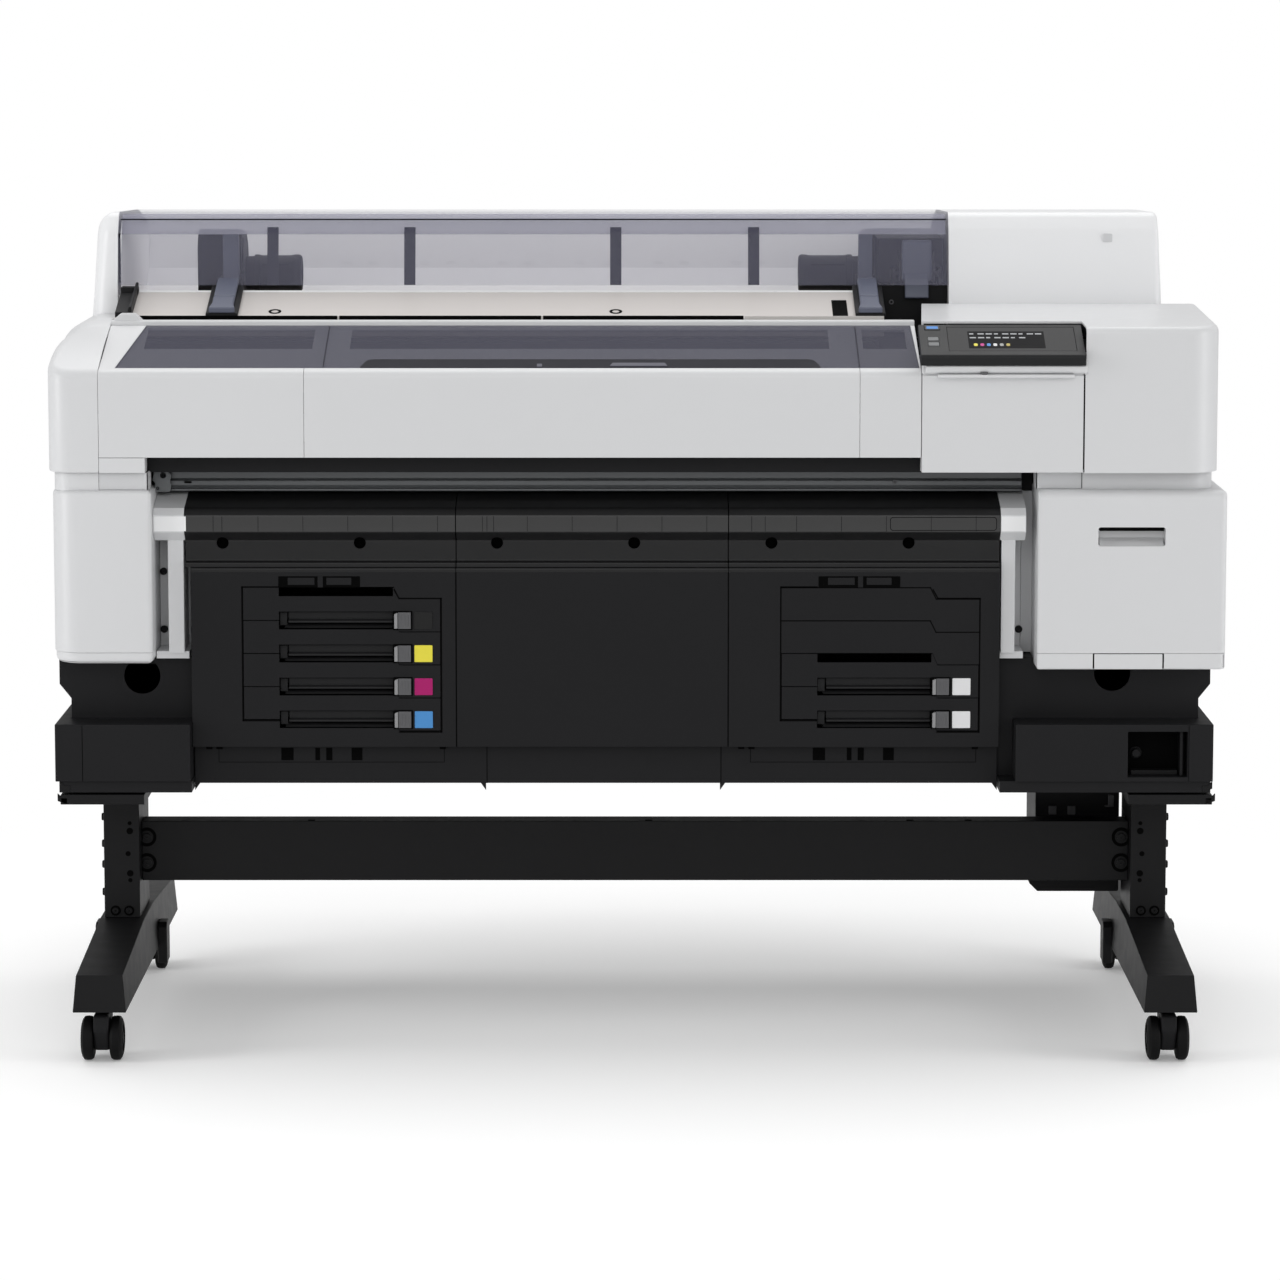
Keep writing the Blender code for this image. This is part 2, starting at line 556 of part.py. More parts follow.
def upper_outline(bottom):
    slope = slope_points()
    return ([(FACE_Y, bottom)] + slope[1:] + [(slope[-1][0] + 0.020, LEDGE_TOP), (BODY_BACK, LEDGE_TOP),
            (BODY_BACK, bottom)])


def inset_outline(outline, amount):
    """The same outline with a wall's thickness taken off all round (outline runs clockwise)."""
    ring = sheet(outline + [outline[0]], -amount)
    return ring[len(outline) + 2:]


def left_upper_cover():
    wall = SHELL
    x = (LEFT, UPPER_LEFT_IN)
    obj = prism("X", upper_outline(UPPER_Z), *x)
    behind = bulge_points()
    panel_top = FACE_TOP + 0.0055
    cap = roll_points()[:-1] + behind
    cap += [(behind[-1][0], panel_top), (BODY_BACK - 0.02, panel_top), (ROLL_Y, panel_top)]
    obj = join(obj, prism("X", cap, *LEFT_CAP_X))
    neck = block((LEFT + 0.007, x[1] - 0.001), (FACE_Y + 0.008, BODY_BACK - 0.002),
                 (LEFT_LOWER_Z[1] + GAP, UPPER_Z + 0.002))
    obj = join(obj, neck)
    obj = cut(obj, prism("X", inset_outline(upper_outline(UPPER_Z), wall), x[0] + wall, x[1] + 0.01))
    neck_hole = block((LEFT + 0.010, x[1] + 0.01), (FACE_Y + 0.011, BODY_BACK + 0.01),
                      (LEFT_LOWER_Z[1] - 0.01, UPPER_Z + 0.01))
    obj = cut(obj, neck_hole)
    hole = inset_outline(cap, wall)
    obj = cut(obj, prism("X", hole, *grown(LEFT_CAP_X, -wall)))
    node("left_upper_cover", obj, WHITE)


def left_lower_cover():
    x = (LEFT + 0.004, LEFT + 0.142)
    z = LEFT_LOWER_Z
    wall = 0.0025
    obj = block(x, (FACE_Y, BODY_BACK), z)
    obj = cut(obj, block(grown(x, -wall), (FACE_Y + wall, NECK_Y + 0.02), grown(z, -wall)))
    frame_side = LEFT + 0.0066 + 0.007 - GAP
    obj = cut(obj, block((frame_side, x[1] + 0.01), (NECK_Y - GAP, BODY_BACK + 0.01), grown(z, 0.01)))
    below = (z[0] - 0.01, FRAME_SHOULDER + GAP)
    obj = cut(obj, block((frame_side, x[1] + 0.01), (FRAME_Y - GAP, BODY_BACK + 0.01), below))
    node("left_lower_cover", obj, WHITE)


def right_lower_cover():
    """Fixed surround behind and below the service door."""
    x = (RIGHT - 0.258, RIGHT)
    z = RIGHT_LOWER_Z
    wall = 0.0025
    split = FACE_Y + 0.0230
    obj = block(x, (FACE_Y, BODY_BACK), z)
    obj = cut(obj, block(grown(x, 0.01), (FACE_Y - 0.01, split), (DOOR_BOTTOM - SEAM, z[1] + 0.01)))
    sill = (z[0] + wall, DOOR_BOTTOM - SEAM - wall)
    obj = cut(obj, block(grown(x, -wall), (FACE_Y + wall, NECK_Y + 0.02), sill))
    inner = (split - 0.02, NECK_Y + 0.02)
    obj = cut(obj, block(grown(x, -wall), inner, (DOOR_BOTTOM - 2 * wall, z[1] - wall)))
    frame_side = RIGHT - 0.0135 - 0.007 + GAP
    obj = cut(obj, block((x[0] - 0.01, frame_side), (NECK_Y - GAP, BODY_BACK + 0.01), grown(z, 0.01)))
    below = (z[0] - 0.01, FRAME_SHOULDER + GAP)
    obj = cut(obj, block((x[0] - 0.01, frame_side), (FRAME_Y - GAP, BODY_BACK + 0.01), below))
    node("right_lower_cover", obj, WHITE)


def right_lower_door():
    x = (RIGHT - 0.258, RIGHT)
    y = (FACE_Y, FACE_Y + 0.0225)
    z = (DOOR_BOTTOM, RIGHT_LOWER_Z[1])
    obj = block(x, y, z)
    obj = cut(obj, block(grown(x, -SHELL), (y[0] + SHELL, y[1] + 0.01), grown(z, -SHELL)))
    pull_x = (RIGHT - 0.176, RIGHT - 0.0843)
    pull_z = (z[1] - 0.0763, z[1] - 0.0503)
    obj = join(obj, block(grown(pull_x, SHELL), (y[0] + SHELL / 2, y[1]), grown(pull_z, SHELL)))
    obj = cut(obj, block(pull_x, (y[0] - 0.01, y[1] - SHELL), pull_z))
    node("right_lower_door", obj, WHITE, (x[0], FACE_Y, DOOR_BOTTOM))


def right_unit_outline(bottom):
    return [(FACE_Y, bottom), (FACE_Y, RIGHT_TOP[0] - 0.012), (FACE_Y + 0.0035, RIGHT_TOP[0] - 0.003),
            (FACE_Y + 0.012, RIGHT_TOP[0]), (FACE_Y + 0.2875, RIGHT_TOP[1]), (BODY_BACK, RIGHT_TOP[1]),
            (BODY_BACK, bottom)]


def panel_shelf_z():
    return (RIGHT_TOP[0] - 0.0625, RIGHT_TOP[0] - 0.0515)


def right_upper_cover():
    wall = SHELL
    x = (ACCESS_X[0], RIGHT - 0.0103)
    split = FACE_Y + 0.0220
    shelf = panel_shelf_z()
    obj = prism("X", right_unit_outline(UPPER_Z), *x)
    neck = block((ACCESS_X[1], x[1] - 0.005), (FACE_Y + 0.0240, BODY_BACK - 0.002),
                 (RIGHT_LOWER_Z[1] + GAP, UPPER_Z + 0.002))
    obj = join(obj, neck)
    inner = inset_outline(right_unit_outline(UPPER_Z), wall)
    obj = cut(obj, prism("X", inner, x[0] - 0.01, x[1] - wall))
    obj = cut(obj, block((x[0] - 0.01, x[1] - 0.005 - wall), (FACE_Y + 0.0240 + wall, BODY_BACK + 0.01),
                         (RIGHT_LOWER_Z[1] - 0.01, UPPER_Z + 0.01)))
    roll_corner = block((x[0] - 0.01, ROLL_RIGHT + GAP), (ROLL_Y - 0.002, BODY_BACK + 0.01),
                        (UPPER_Z - 0.03, RIGHT_TOP[1] + 0.01))
    obj = cut(obj, roll_corner)
    hole = grown(ACCESS_X, SEAM)
    obj = cut(obj, block((x[0] - 0.01, hole[1]), (FACE_Y - 0.01, split), (UPPER_Z - 0.01, shelf[0])))
    wedge = [(FACE_Y - 0.03, shelf[1]), (FACE_Y - 0.012, shelf[1]), (FACE_Y + 0.070, shelf[1] + 0.0375),
             (FACE_Y + 0.070, RIGHT_TOP[1] + 0.05), (FACE_Y - 0.03, RIGHT_TOP[1] + 0.05)]
    obj = cut(obj, prism("X", wedge, x[0] - 0.01, ACCESS_X[1] + 0.0025))
    tray_back = FACE_Y + 0.075
    tray = [(FACE_Y - 0.010, shelf[0]), (FACE_Y + 0.030, shelf[0]), (tray_back, shelf[0] + 0.020),
            (tray_back, shelf[0] + 0.045), (tray_back - 0.005, shelf[0] + 0.045),
            (FACE_Y - 0.012, shelf[1] - SEAM)]
    obj = join(obj, prism("X", tray, ACCESS_X[0] + 0.004, ACCESS_X[1] + 0.0035))
    node("right_upper_cover", obj, WHITE)


def head_access_cover():
    x = grown(ACCESS_X, -SEAM)
    y = (FACE_Y, FACE_Y + 0.0215)
    z = (UPPER_Z + SEAM, panel_shelf_z()[0] - 0.0025)
    obj = block(x, y, z)
    obj = cut(obj, block(grown(x, -SHELL), (y[0] + SHELL, y[1] + 0.01), grown(z, -SHELL)))
    node("head_access_cover", obj, WHITE, (x[0], FACE_Y, z[0]))


def window_cut(x, inset):
    """A tool as wide as x that opens the slope, all but a rim."""
    low = FACE_Y + BROW[0] + 0.004 + inset
    high = FACE_Y + BROW[0] + SLOPE_RUN - 0.006 - inset
    return block(x, (low, high), (FACE_TOP, FACE_TOP + 0.1))


def front_surround():
    """Fixed frame round the front cover: a left and a right part, and a ledge behind them."""
    skin = sheet(slope_points(), -SHELL)
    x = (UPPER_LEFT_IN + SEAM, ACCESS_X[0] - SEAM)
    left = prism("X", skin, x[0], FRONT_COVER_X[0] - SEAM)
    left = cut(left, window_cut((x[0] + 0.023, FRONT_COVER_X[0] - SEAM - 0.006), 0))
    right = prism("X", skin, FRONT_COVER_X[1] + SEAM, x[1])
    right = cut(right, window_cut((FRONT_COVER_X[1] + SEAM + 0.006, x[1] - 0.006), 0))
    ledge_y = FACE_Y + BROW[0] + SLOPE_RUN
    ledge = block(x, (ledge_y + HINGE_CLEARANCE, ledge_y + 0.025), (LEDGE_TOP - 0.016, LEDGE_TOP))
    obj = join(ledge, left, right)
    bridge_z = (LEDGE_TOP - 0.0155, LEDGE_TOP - 0.0105)
    for bridge in ((x[0], FRONT_COVER_X[0] - SEAM), (FRONT_COVER_X[1] + SEAM, x[1])):
        obj = join(obj, block(bridge, (ledge_y - 0.004, ledge_y + 0.006), bridge_z))
    trim = block((x[0], LEFT + 0.134), (FACE_Y, FACE_Y + SHELL), (UPPER_Z, COVER_BOTTOM + 0.002))
    node("front_surround", join(obj, trim), WHITE)


def front_cover():
    x = FRONT_COVER_X
    obj = prism("X", sheet(slope_points(), -SHELL), *x)
    obj = cut(obj, window_cut(grown(x, -0.004), 0))
    pivot = (x[0], FACE_Y + BROW[0] + SLOPE_RUN, FACE_TOP + BROW[1] + SLOPE_RISE)
    node("front_cover", obj, WHITE, pivot)
    pane = prism("X", sheet(slope_points()[3:], -SHELL), *grown(x, -0.004 - GAP))
    low = FACE_Y + BROW[0] + 0.004 + GAP
    high = FACE_Y + BROW[0] + SLOPE_RUN - 0.006 - GAP
    pane = cut(pane, block(grown(x, 0.01), (FACE_Y - 0.01, low), (FACE_TOP, FACE_TOP + 0.1)))
    pane = cut(pane, block(grown(x, 0.01), (high, high + 0.05), (FACE_TOP, FACE_TOP + 0.1)))
    node("front_cover_window", pane, TINTED, pivot)


def control_panel():
    shelf = panel_shelf_z()[1]
    x = (ACCESS_X[0] - 0.002, ACCESS_X[1] + 0.0005)
    back = FACE_Y + 0.0670
    lip = FACE_Y - 0.0175
    rise = 0.0375
    top = shelf + 0.0145
    side = [(lip, shelf + SEAM), (lip, top), (back, top + rise), (back, top + rise - 0.012),
            (lip + 0.006, shelf + SEAM)]
    obj = prism("X", side, *x)
    pivot = Vector((x[0], back, top + rise))
    slope = math.atan2(rise, back - lip)
    along = Vector((0, math.cos(slope), math.sin(slope)))
    out = Vector((0, -math.sin(slope), math.cos(slope)))
    turn = Matrix.Rotation(slope, 4, "X")
    place = pivot - along * 0.012 + Vector((0.012, 0, 0))
    key = ((-0.008, 0.008), (-0.004, 0.004))
    hole = block(grown(key[0], GAP), grown(key[1], GAP), (-0.005, 0.01))
    hole.data.transform(Matrix.Translation(place) @ turn)
    node("control_panel", cut(obj, hole), PANEL, tuple(pivot))
    button = block(*key, (-0.0035, 0.0008))
    button.data.transform(Matrix.Translation(place) @ turn)
    node("power_button", button, PANEL, tuple(place + out * 0.0008))


def roll_cover():
    x = (LEFT_CAP_X[1] + SEAM, ROLL_RIGHT - SEAM)
    outer = roll_points()
    obj = prism("X", outer, *x)
    inner = sheet(outer, -SHELL)[len(outer):]
    inner = [(inner[0][0], inner[0][1] - 0.03)] + inner + [(inner[-1][0], inner[-1][1] - 0.03)]
    obj = cut(obj, prism("X", inner, *grown(x, -SHELL)))
    node("roll_cover", obj, TINTED, (x[0], *outer[-1]))


def right_rear_cover():
    x = (ROLL_RIGHT, REAR_BOX_OUT)
    bottom = RIGHT_TOP[1] + GAP
    behind = bulge_points()
    outer = [(ROLL_Y, bottom)] + roll_points()[:-1] + behind + [(behind[-1][0], bottom)]
    obj = prism("X", outer, *x)
    obj = cut(obj, prism("X", inset_outline(outer, SHELL), *grown(x, -SHELL)))
    opening = block(grown(x, -0.020), (ROLL_Y + 0.020, BODY_BACK - 0.020), (bottom - 0.01, bottom + 0.01))
    node("right_rear_cover", cut(obj, opening), WHITE)


def covers():
    left_upper_cover()
    left_lower_cover()
    right_lower_cover()
    right_lower_door()
    right_upper_cover()
    head_access_cover()
    front_surround()
    front_cover()
    control_panel()
    roll_cover()
    right_rear_cover()


# ---- print path ---------------------------------------------------------------------------
def between_plates(inset=SEAM):
    return (SIDE_PLATE[0] + inset, SIDE_PLATE[1] - inset)


def platen():
    obj = block(between_plates(), PLATEN_Y, (FRAME_TOP + SEAM, PLATEN_TOP))
    groove = block((LEFT_FRAME_IN, RIGHT_FRAME_IN), (PLATEN_Y[0] + 0.020, PLATEN_Y[0] + 0.024),
                   (PLATEN_TOP - 0.004, PLATEN_TOP + 0.01))
    node("platen", cut(obj, groove), BLACK)


def carriage_rail():
    """Guide beam for the carriage, with the two belt pulleys on its top."""
    x = between_plates()
    obj = block(x, RAIL_Y, RAIL_Z)
    belt_y = RAIL_Y[0] + 0.006
    centre_z = RAIL_Z[1] + 0.0165
    for pulley_x in (x[0] + 0.030, x[1] - 0.030):
        stem_z = (RAIL_Z[1] - 0.002, centre_z + 0.003)
        stem = block((pulley_x - 0.003, pulley_x + 0.003), (belt_y + 0.010, belt_y + 0.014), stem_z)
        wheel = rod("Y", (pulley_x, centre_z), BELT_RADIUS - BELT - GAP, belt_y, belt_y + 0.011, 20)
        obj = join(obj, stem, wheel)
    node("carriage_rail", obj, STEEL)


def carriage_belt():
    x = between_plates()
    ends = (x[0] + 0.030, x[1] - 0.030)
    centre_z = RAIL_Z[1] + 0.0165

    def loop(radius):
        left = [(ends[0] + radius * math.cos(t), centre_z + radius * math.sin(t))
                for t in (math.pi / 2 + math.pi * i / 10 for i in range(11))]
        right = [(ends[1] + radius * math.cos(t), centre_z + radius * math.sin(t))
                 for t in (-math.pi / 2 + math.pi * i / 10 for i in range(11))]
        return left + right
    belt_y = RAIL_Y[0] + 0.001
    obj = prism("Y", loop(BELT_RADIUS), belt_y, belt_y + 0.011)
    obj = cut(obj, prism("Y", loop(BELT_RADIUS - BELT), belt_y - 0.01, belt_y + 0.02))
    node("carriage_belt", obj, RUBBER)


def print_carriage():
    x = (RIGHT - 0.244, RIGHT - 0.074)
    y = (FACE_Y + 0.0455, RAIL_Y[0] - GAP)
    z = (PLATEN_TOP + 0.006, PLATEN_TOP + 0.093)
    obj = block(x, y, z)
    node("print_carriage", obj, BLACK, (x[0], y[1], z[0]))
    blade_x = x[0] - GAP
    holder = block((blade_x - 0.018, blade_x), (y[0] + 0.012, y[0] + 0.042), (z[0] + 0.010, z[0] + 0.050))
    blade = rod("X", (y[0] + 0.027, z[0] + 0.014), 0.012, blade_x - 0.008, blade_x - 0.007, 20)
    node("cutter_blade", join(holder, blade), STEEL, (blade_x, y[0] + 0.027, z[0] + 0.014))


def feed_roller():
    x = (LEFT_FRAME_IN + 0.010, RIGHT_FRAME_IN - 0.010)
    obj = rod("X", (FEED_Y, FEED_Z), FEED_RADIUS, *x, 20)
    shaft = rod("X", (FEED_Y, FEED_Z), JOURNAL, SIDE_PLATE[0] - 0.003, SIDE_PLATE[1] + 0.003, 12)
    node("feed_roller", join(obj, shaft), RUBBER, (x[0], FEED_Y, FEED_Z), smooth=True)


def pinch_rollers():
    """Pivoting bar that presses a row of small rollers on the feed roller."""
    x = (LEFT_FRAME_IN + 0.010, RIGHT_FRAME_IN - 0.010)
    centre_z = FEED_Z + FEED_RADIUS + SEAM + PINCH_RADIUS
    bar_z = (centre_z + 0.0155, centre_z + 0.0275)
    pivot = (x[0], FEED_Y + 0.055, centre_z + 0.0215)
    obj = block(between_plates(), (FEED_Y + 0.020, FEED_Y + 0.059), bar_z)
    obj = join(obj, block(x, (FEED_Y - 0.002, FEED_Y + 0.025), (centre_z + 0.0165, centre_z + 0.0265)))
    obj = join(obj, block(x, (FEED_Y - 0.002, FEED_Y + 0.002), (centre_z, centre_z + 0.020)))
    obj = join(obj, rod("X", (FEED_Y, centre_z), PINCH_RADIUS, *x, 16))
    node("pinch_rollers", obj, STEEL, pivot)


# ---- roll bay -----------------------------------------------------------------------------
BOARD_THICKNESS = 0.003
FEED_EDGE = FACE_Y + 0.2075        # front edge of the feed slope
TROUGH_Z = FACE_TOP + 0.023


def board_points():
    """Top skin of the feed slope, its crest, the roll trough and the back wall."""
    return [(FEED_EDGE - 0.002, LEDGE_TOP - 0.025), (FEED_EDGE, LEDGE_TOP), (ROLL_Y, ROLL_BOTTOM - 0.0075),
            (ROLL_Y + 0.022, ROLL_BOTTOM - 0.0150), (ROLL_Y + 0.045, TROUGH_Z + 0.030),
            (ROLL_Y + 0.100, TROUGH_Z), (BACK - 0.190, TROUGH_Z), (BACK - 0.125, TROUGH_Z + 0.025),
            (BACK - 0.060, TROUGH_Z + 0.085), (BACK - 0.030, ROLL_TOP - 0.050)]


def media_feed_board():
    x = (UPPER_LEFT_IN + SEAM, ROLL_RIGHT - 0.098)
    node("media_feed_board", prism("X", sheet(board_points(), -BOARD_THICKNESS), *x), BOARD)


def lever_housing():
    x = (ROLL_RIGHT - 0.098 + SEAM, ROLL_RIGHT - SEAM)
    shelf = ROLL_BOTTOM - 0.002
    obj = block(x, (ROLL_Y + 0.030, BODY_BACK + 0.015), (TROUGH_Z - 0.010, shelf))
    upper_z = (shelf - 0.001, ROLL_TOP - 0.040)
    upper = block((x[0], x[1] - SHELL - SEAM), (ROLL_Y + 0.072, BACK - 0.070), upper_z)
    axle = rod("X", (ROLL_Y + 0.040, shelf + 0.016), JOURNAL, x[0] + 0.020, x[1] - 0.010, 16)
    ears = [block(ear_x, (ROLL_Y + 0.032, ROLL_Y + 0.074), (shelf - 0.001, shelf + 0.024))
            for ear_x in ((x[0] + 0.018, x[0] + 0.023), (x[1] - 0.013, x[1] - 0.008))]
    node("lever_housing", join(obj, upper, *ears, axle), BLACK)


def media_lever():
    """Handle on the housing's axle that lifts the pinch rollers."""
    x = (ROLL_RIGHT - 0.098 + SEAM + 0.0235, ROLL_RIGHT - SEAM - 0.0135)
    axis = (ROLL_Y + 0.040, ROLL_BOTTOM - 0.002 + 0.016)
    side = [(-0.010, -0.011), (0.009, -0.011), (0.009, 0.012), (0.004, 0.048),
            (-0.008, 0.048), (-0.010, 0.012)]
    obj = prism("X", [(axis[0] + y, axis[1] + z) for y, z in side], *x)
    obj = cut(obj, rod("X", axis, JOURNAL + GAP, x[0] - 0.01, x[1] + 0.01, 16))
    node("media_lever", obj, GUNMETAL, (x[0], *axis))


def roll_holder(name, block_x, arm_x, hub_x):
    """Slider over the feed slope that carries a core hub at its back and a lever at its front."""
    lift = BOARD_THICKNESS + GAP
    path = board_points()[1:5]
    path[0] = (path[0][0] + 0.004, path[0][1] + 0.0012)
    skin = sheet(path, lift)
    lower = [tuple(Vector(p) + Vector((0, GAP))) for p in path]
    obj = prism("X", lower + skin[len(path):], *arm_x)
    hub_y = ROLL_Y + 0.180
    hub_z = TROUGH_Z + 0.091
    foot_z = TROUGH_Z + GAP
    body = [(ROLL_Y + 0.102, foot_z), (hub_y + 0.040, foot_z), (hub_y + 0.050, hub_z),
            (hub_y + 0.030, hub_z + 0.050), (hub_y - 0.060, hub_z + 0.055), (ROLL_Y + 0.096, hub_z + 0.020)]
    tie = [(ROLL_Y + 0.0455, TROUGH_Z + 0.0320), (ROLL_Y + 0.1045, TROUGH_Z + 0.0040),
           (ROLL_Y + 0.110, TROUGH_Z + 0.0400), (ROLL_Y + 0.050, TROUGH_Z + 0.0400)]
    obj = join(obj, prism("X", body, *block_x), prism("X", tie, *arm_x))
    obj = join(obj, rod("X", (hub_y, hub_z), 0.0275, *hub_x, 24))
    ears_z = (TROUGH_Z + 0.035, ROLL_BOTTOM + 0.012)
    for ear_x in ((arm_x[0], arm_x[0] + 0.004), (arm_x[1] - 0.004, arm_x[1])):
        obj = join(obj, block(ear_x, (ROLL_Y + 0.052, ROLL_Y + 0.070), ears_z))
    pin = rod("X", (ROLL_Y + 0.061, ROLL_BOTTOM + 0.004), 0.003, arm_x[0] + 0.002, arm_x[1] - 0.002, 12)
    node(name, join(obj, pin), BLACK, (block_x[0], hub_y, hub_z))


def holder_lever(name, arm_x):
    axis = (ROLL_Y + 0.061, ROLL_BOTTOM + 0.004)
    x = (arm_x[0] + 0.0043, arm_x[1] - 0.0043)
    side = [(-0.006, -0.008), (0.006, -0.008), (0.006, 0.015), (0.0, 0.062), (-0.010, 0.068), (-0.006, 0.015)]
    obj = prism("X", [(axis[0] + y, axis[1] + z) for y, z in side], *x)
    obj = cut(obj, rod("X", axis, 0.003 + GAP, x[0] - 0.01, x[1] + 0.01, 12))
    node(name, obj, GUNMETAL, (x[0], *axis))


def roll_bay():
    media_feed_board()
    lever_housing()
    media_lever()
    left_block = (LEFT + 0.171, LEFT + 0.234)
    left_arm = (LEFT + 0.207, LEFT + 0.236)
    roll_holder("left_roll_holder", left_block, left_arm, (LEFT + 0.230, LEFT + 0.315))
    holder_lever("left_holder_lever", left_arm)
    right_block = (RIGHT - 0.479, RIGHT - 0.462)
    right_arm = (RIGHT - 0.491, RIGHT - 0.464)
    roll_holder("right_roll_holder", right_block, right_arm, (RIGHT - 0.569, RIGHT - 0.475))
    holder_lever("right_holder_lever", right_arm)


def main():
    remove_everything()
    stand()
    base()
    ink_cabinet()
    film_exit()
    covers()
    platen()
    carriage_rail()
    carriage_belt()
    print_carriage()
    feed_roller()
    pinch_rollers()
    roll_bay()


main()
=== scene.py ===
"""Looks for the floor-standing roll printer: smooth covers, windows, panel, drawers and small parts."""
import json
import math

import bmesh
import bpy
from mathutils import Matrix, Vector


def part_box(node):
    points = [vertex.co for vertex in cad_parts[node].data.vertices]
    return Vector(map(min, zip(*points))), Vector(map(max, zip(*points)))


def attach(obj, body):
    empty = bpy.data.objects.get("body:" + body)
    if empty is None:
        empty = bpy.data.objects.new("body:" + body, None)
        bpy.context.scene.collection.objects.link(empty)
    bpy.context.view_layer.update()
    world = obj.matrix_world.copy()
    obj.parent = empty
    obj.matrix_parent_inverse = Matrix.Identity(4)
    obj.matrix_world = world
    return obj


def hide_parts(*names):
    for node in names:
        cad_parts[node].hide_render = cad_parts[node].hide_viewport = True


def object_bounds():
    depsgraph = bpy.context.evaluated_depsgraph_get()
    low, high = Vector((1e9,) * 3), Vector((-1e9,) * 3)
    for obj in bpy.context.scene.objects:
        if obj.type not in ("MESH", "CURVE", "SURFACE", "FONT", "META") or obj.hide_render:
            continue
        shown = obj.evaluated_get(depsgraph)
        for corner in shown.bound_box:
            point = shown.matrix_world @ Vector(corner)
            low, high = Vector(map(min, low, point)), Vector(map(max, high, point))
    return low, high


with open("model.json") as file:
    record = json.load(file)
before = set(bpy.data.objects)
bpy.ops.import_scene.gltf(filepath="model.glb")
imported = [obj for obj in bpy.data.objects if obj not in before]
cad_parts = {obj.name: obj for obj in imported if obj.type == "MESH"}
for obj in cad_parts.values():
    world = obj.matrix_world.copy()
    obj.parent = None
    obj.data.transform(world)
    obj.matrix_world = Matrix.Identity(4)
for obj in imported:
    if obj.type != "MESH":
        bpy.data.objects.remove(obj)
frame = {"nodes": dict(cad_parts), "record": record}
NODES = frame["nodes"]
CAD_LOW, CAD_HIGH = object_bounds()
REPLACED = set()       # CAD nodes that a finished piece stands for


# ---- materials ----------------------------------------------------------------------------
def shader_nodes(name):
    made = bpy.data.materials.new(name)
    made.use_nodes = True
    tree = made.node_tree
    return made, tree, tree.nodes["Principled BSDF"]


def surface(name, colour, roughness, metallic=0.0, specular=0.5, tint=0.03, grain=0.02, grain_scale=1400.0,
            spread=0.06, stretch=(1, 1, 1), alpha=1.0, coat=0.0):
    """Plastic, paint or metal: faint colour drift, uneven roughness and a fine moulded grain."""
    made, tree, shader = shader_nodes(name)
    shader.inputs["Metallic"].default_value = metallic
    shader.inputs["Specular IOR Level"].default_value = specular
    shader.inputs["Alpha"].default_value = alpha
    shader.inputs["Coat Weight"].default_value = coat
    new, link = tree.nodes.new, tree.links.new
    place = new("ShaderNodeTexCoord")
    sized = new("ShaderNodeMapping")
    sized.inputs["Scale"].default_value = stretch
    link(place.outputs["Object"], sized.inputs["Vector"])
    drift = new("ShaderNodeTexNoise")
    drift.inputs["Scale"].default_value = 5.0
    drift.inputs["Detail"].default_value = 3.0
    link(sized.outputs["Vector"], drift.inputs["Vector"])
    ramp = new("ShaderNodeMapRange")
    ramp.inputs["To Min"].default_value = 1.0 - tint
    ramp.inputs["To Max"].default_value = 1.0 + tint
    link(drift.outputs["Fac"], ramp.inputs["Value"])
    mix = new("ShaderNodeVectorMath")
    mix.operation = "SCALE"
    mix.inputs[0].default_value = colour
    link(ramp.outputs["Result"], mix.inputs["Scale"])
    link(mix.outputs["Vector"], shader.inputs["Base Color"])
    uneven = new("ShaderNodeTexNoise")
    uneven.inputs["Scale"].default_value = 38.0
    uneven.inputs["Detail"].default_value = 4.0
    link(sized.outputs["Vector"], uneven.inputs["Vector"])
    rough = new("ShaderNodeMapRange")
    rough.inputs["To Min"].default_value = max(0.02, roughness - spread)
    rough.inputs["To Max"].default_value = roughness + spread
    link(uneven.outputs["Fac"], rough.inputs["Value"])
    link(rough.outputs["Result"], shader.inputs["Roughness"])
    if grain:
        fine = new("ShaderNodeTexNoise")
        fine.inputs["Scale"].default_value = grain_scale
        fine.inputs["Detail"].default_value = 2.0
        link(sized.outputs["Vector"], fine.inputs["Vector"])
        bump = new("ShaderNodeBump")
        bump.inputs["Strength"].default_value = grain
        bump.inputs["Distance"].default_value = 0.0004
        link(fine.outputs["Fac"], bump.inputs["Height"])
        link(bump.outputs["Normal"], shader.inputs["Normal"])
    return made


WHITE = surface("white_cover", (0.66, 0.665, 0.675), 0.36, specular=0.45, tint=0.012, grain=0.05)
WHITE_MATT = surface("white_matt", (0.60, 0.605, 0.615), 0.55, specular=0.3, tint=0.015, grain=0.06)
BLACK = surface("black_cover", (0.0110, 0.0110, 0.0120), 0.50, specular=0.14, tint=0.10, grain=0.16,
                grain_scale=1100)
BLACK_GLOSS = surface("black_guide", (0.0095, 0.0095, 0.0100), 0.34, specular=0.30, tint=0.08, grain=0.05)
STEEL_BLACK = surface("powder_black", (0.0080, 0.0080, 0.0086), 0.46, specular=0.16, tint=0.10, grain=0.22,
                      grain_scale=700)
DEEP = surface("deep_black", (0.0015, 0.0015, 0.0015), 0.65, specular=0.03, tint=0.2, grain=0.05)
RAIL = surface("grey_rail", (0.125, 0.131, 0.136), 0.34, metallic=0.35, tint=0.06, grain=0.08,
               stretch=(0.05, 1, 1))
STEEL = surface("brushed_steel", (0.50, 0.51, 0.52), 0.30, metallic=1.0, tint=0.05, grain=0.12,
                stretch=(0.04, 1, 1))
BOARD = surface("feed_board", (0.585, 0.555, 0.535), 0.42, specular=0.3, tint=0.02, grain=0.05)
RUBBER = surface("tyre_rubber", (0.0035, 0.0035, 0.0037), 0.62, specular=0.14, tint=0.15, grain=0.25,
                 grain_scale=500)
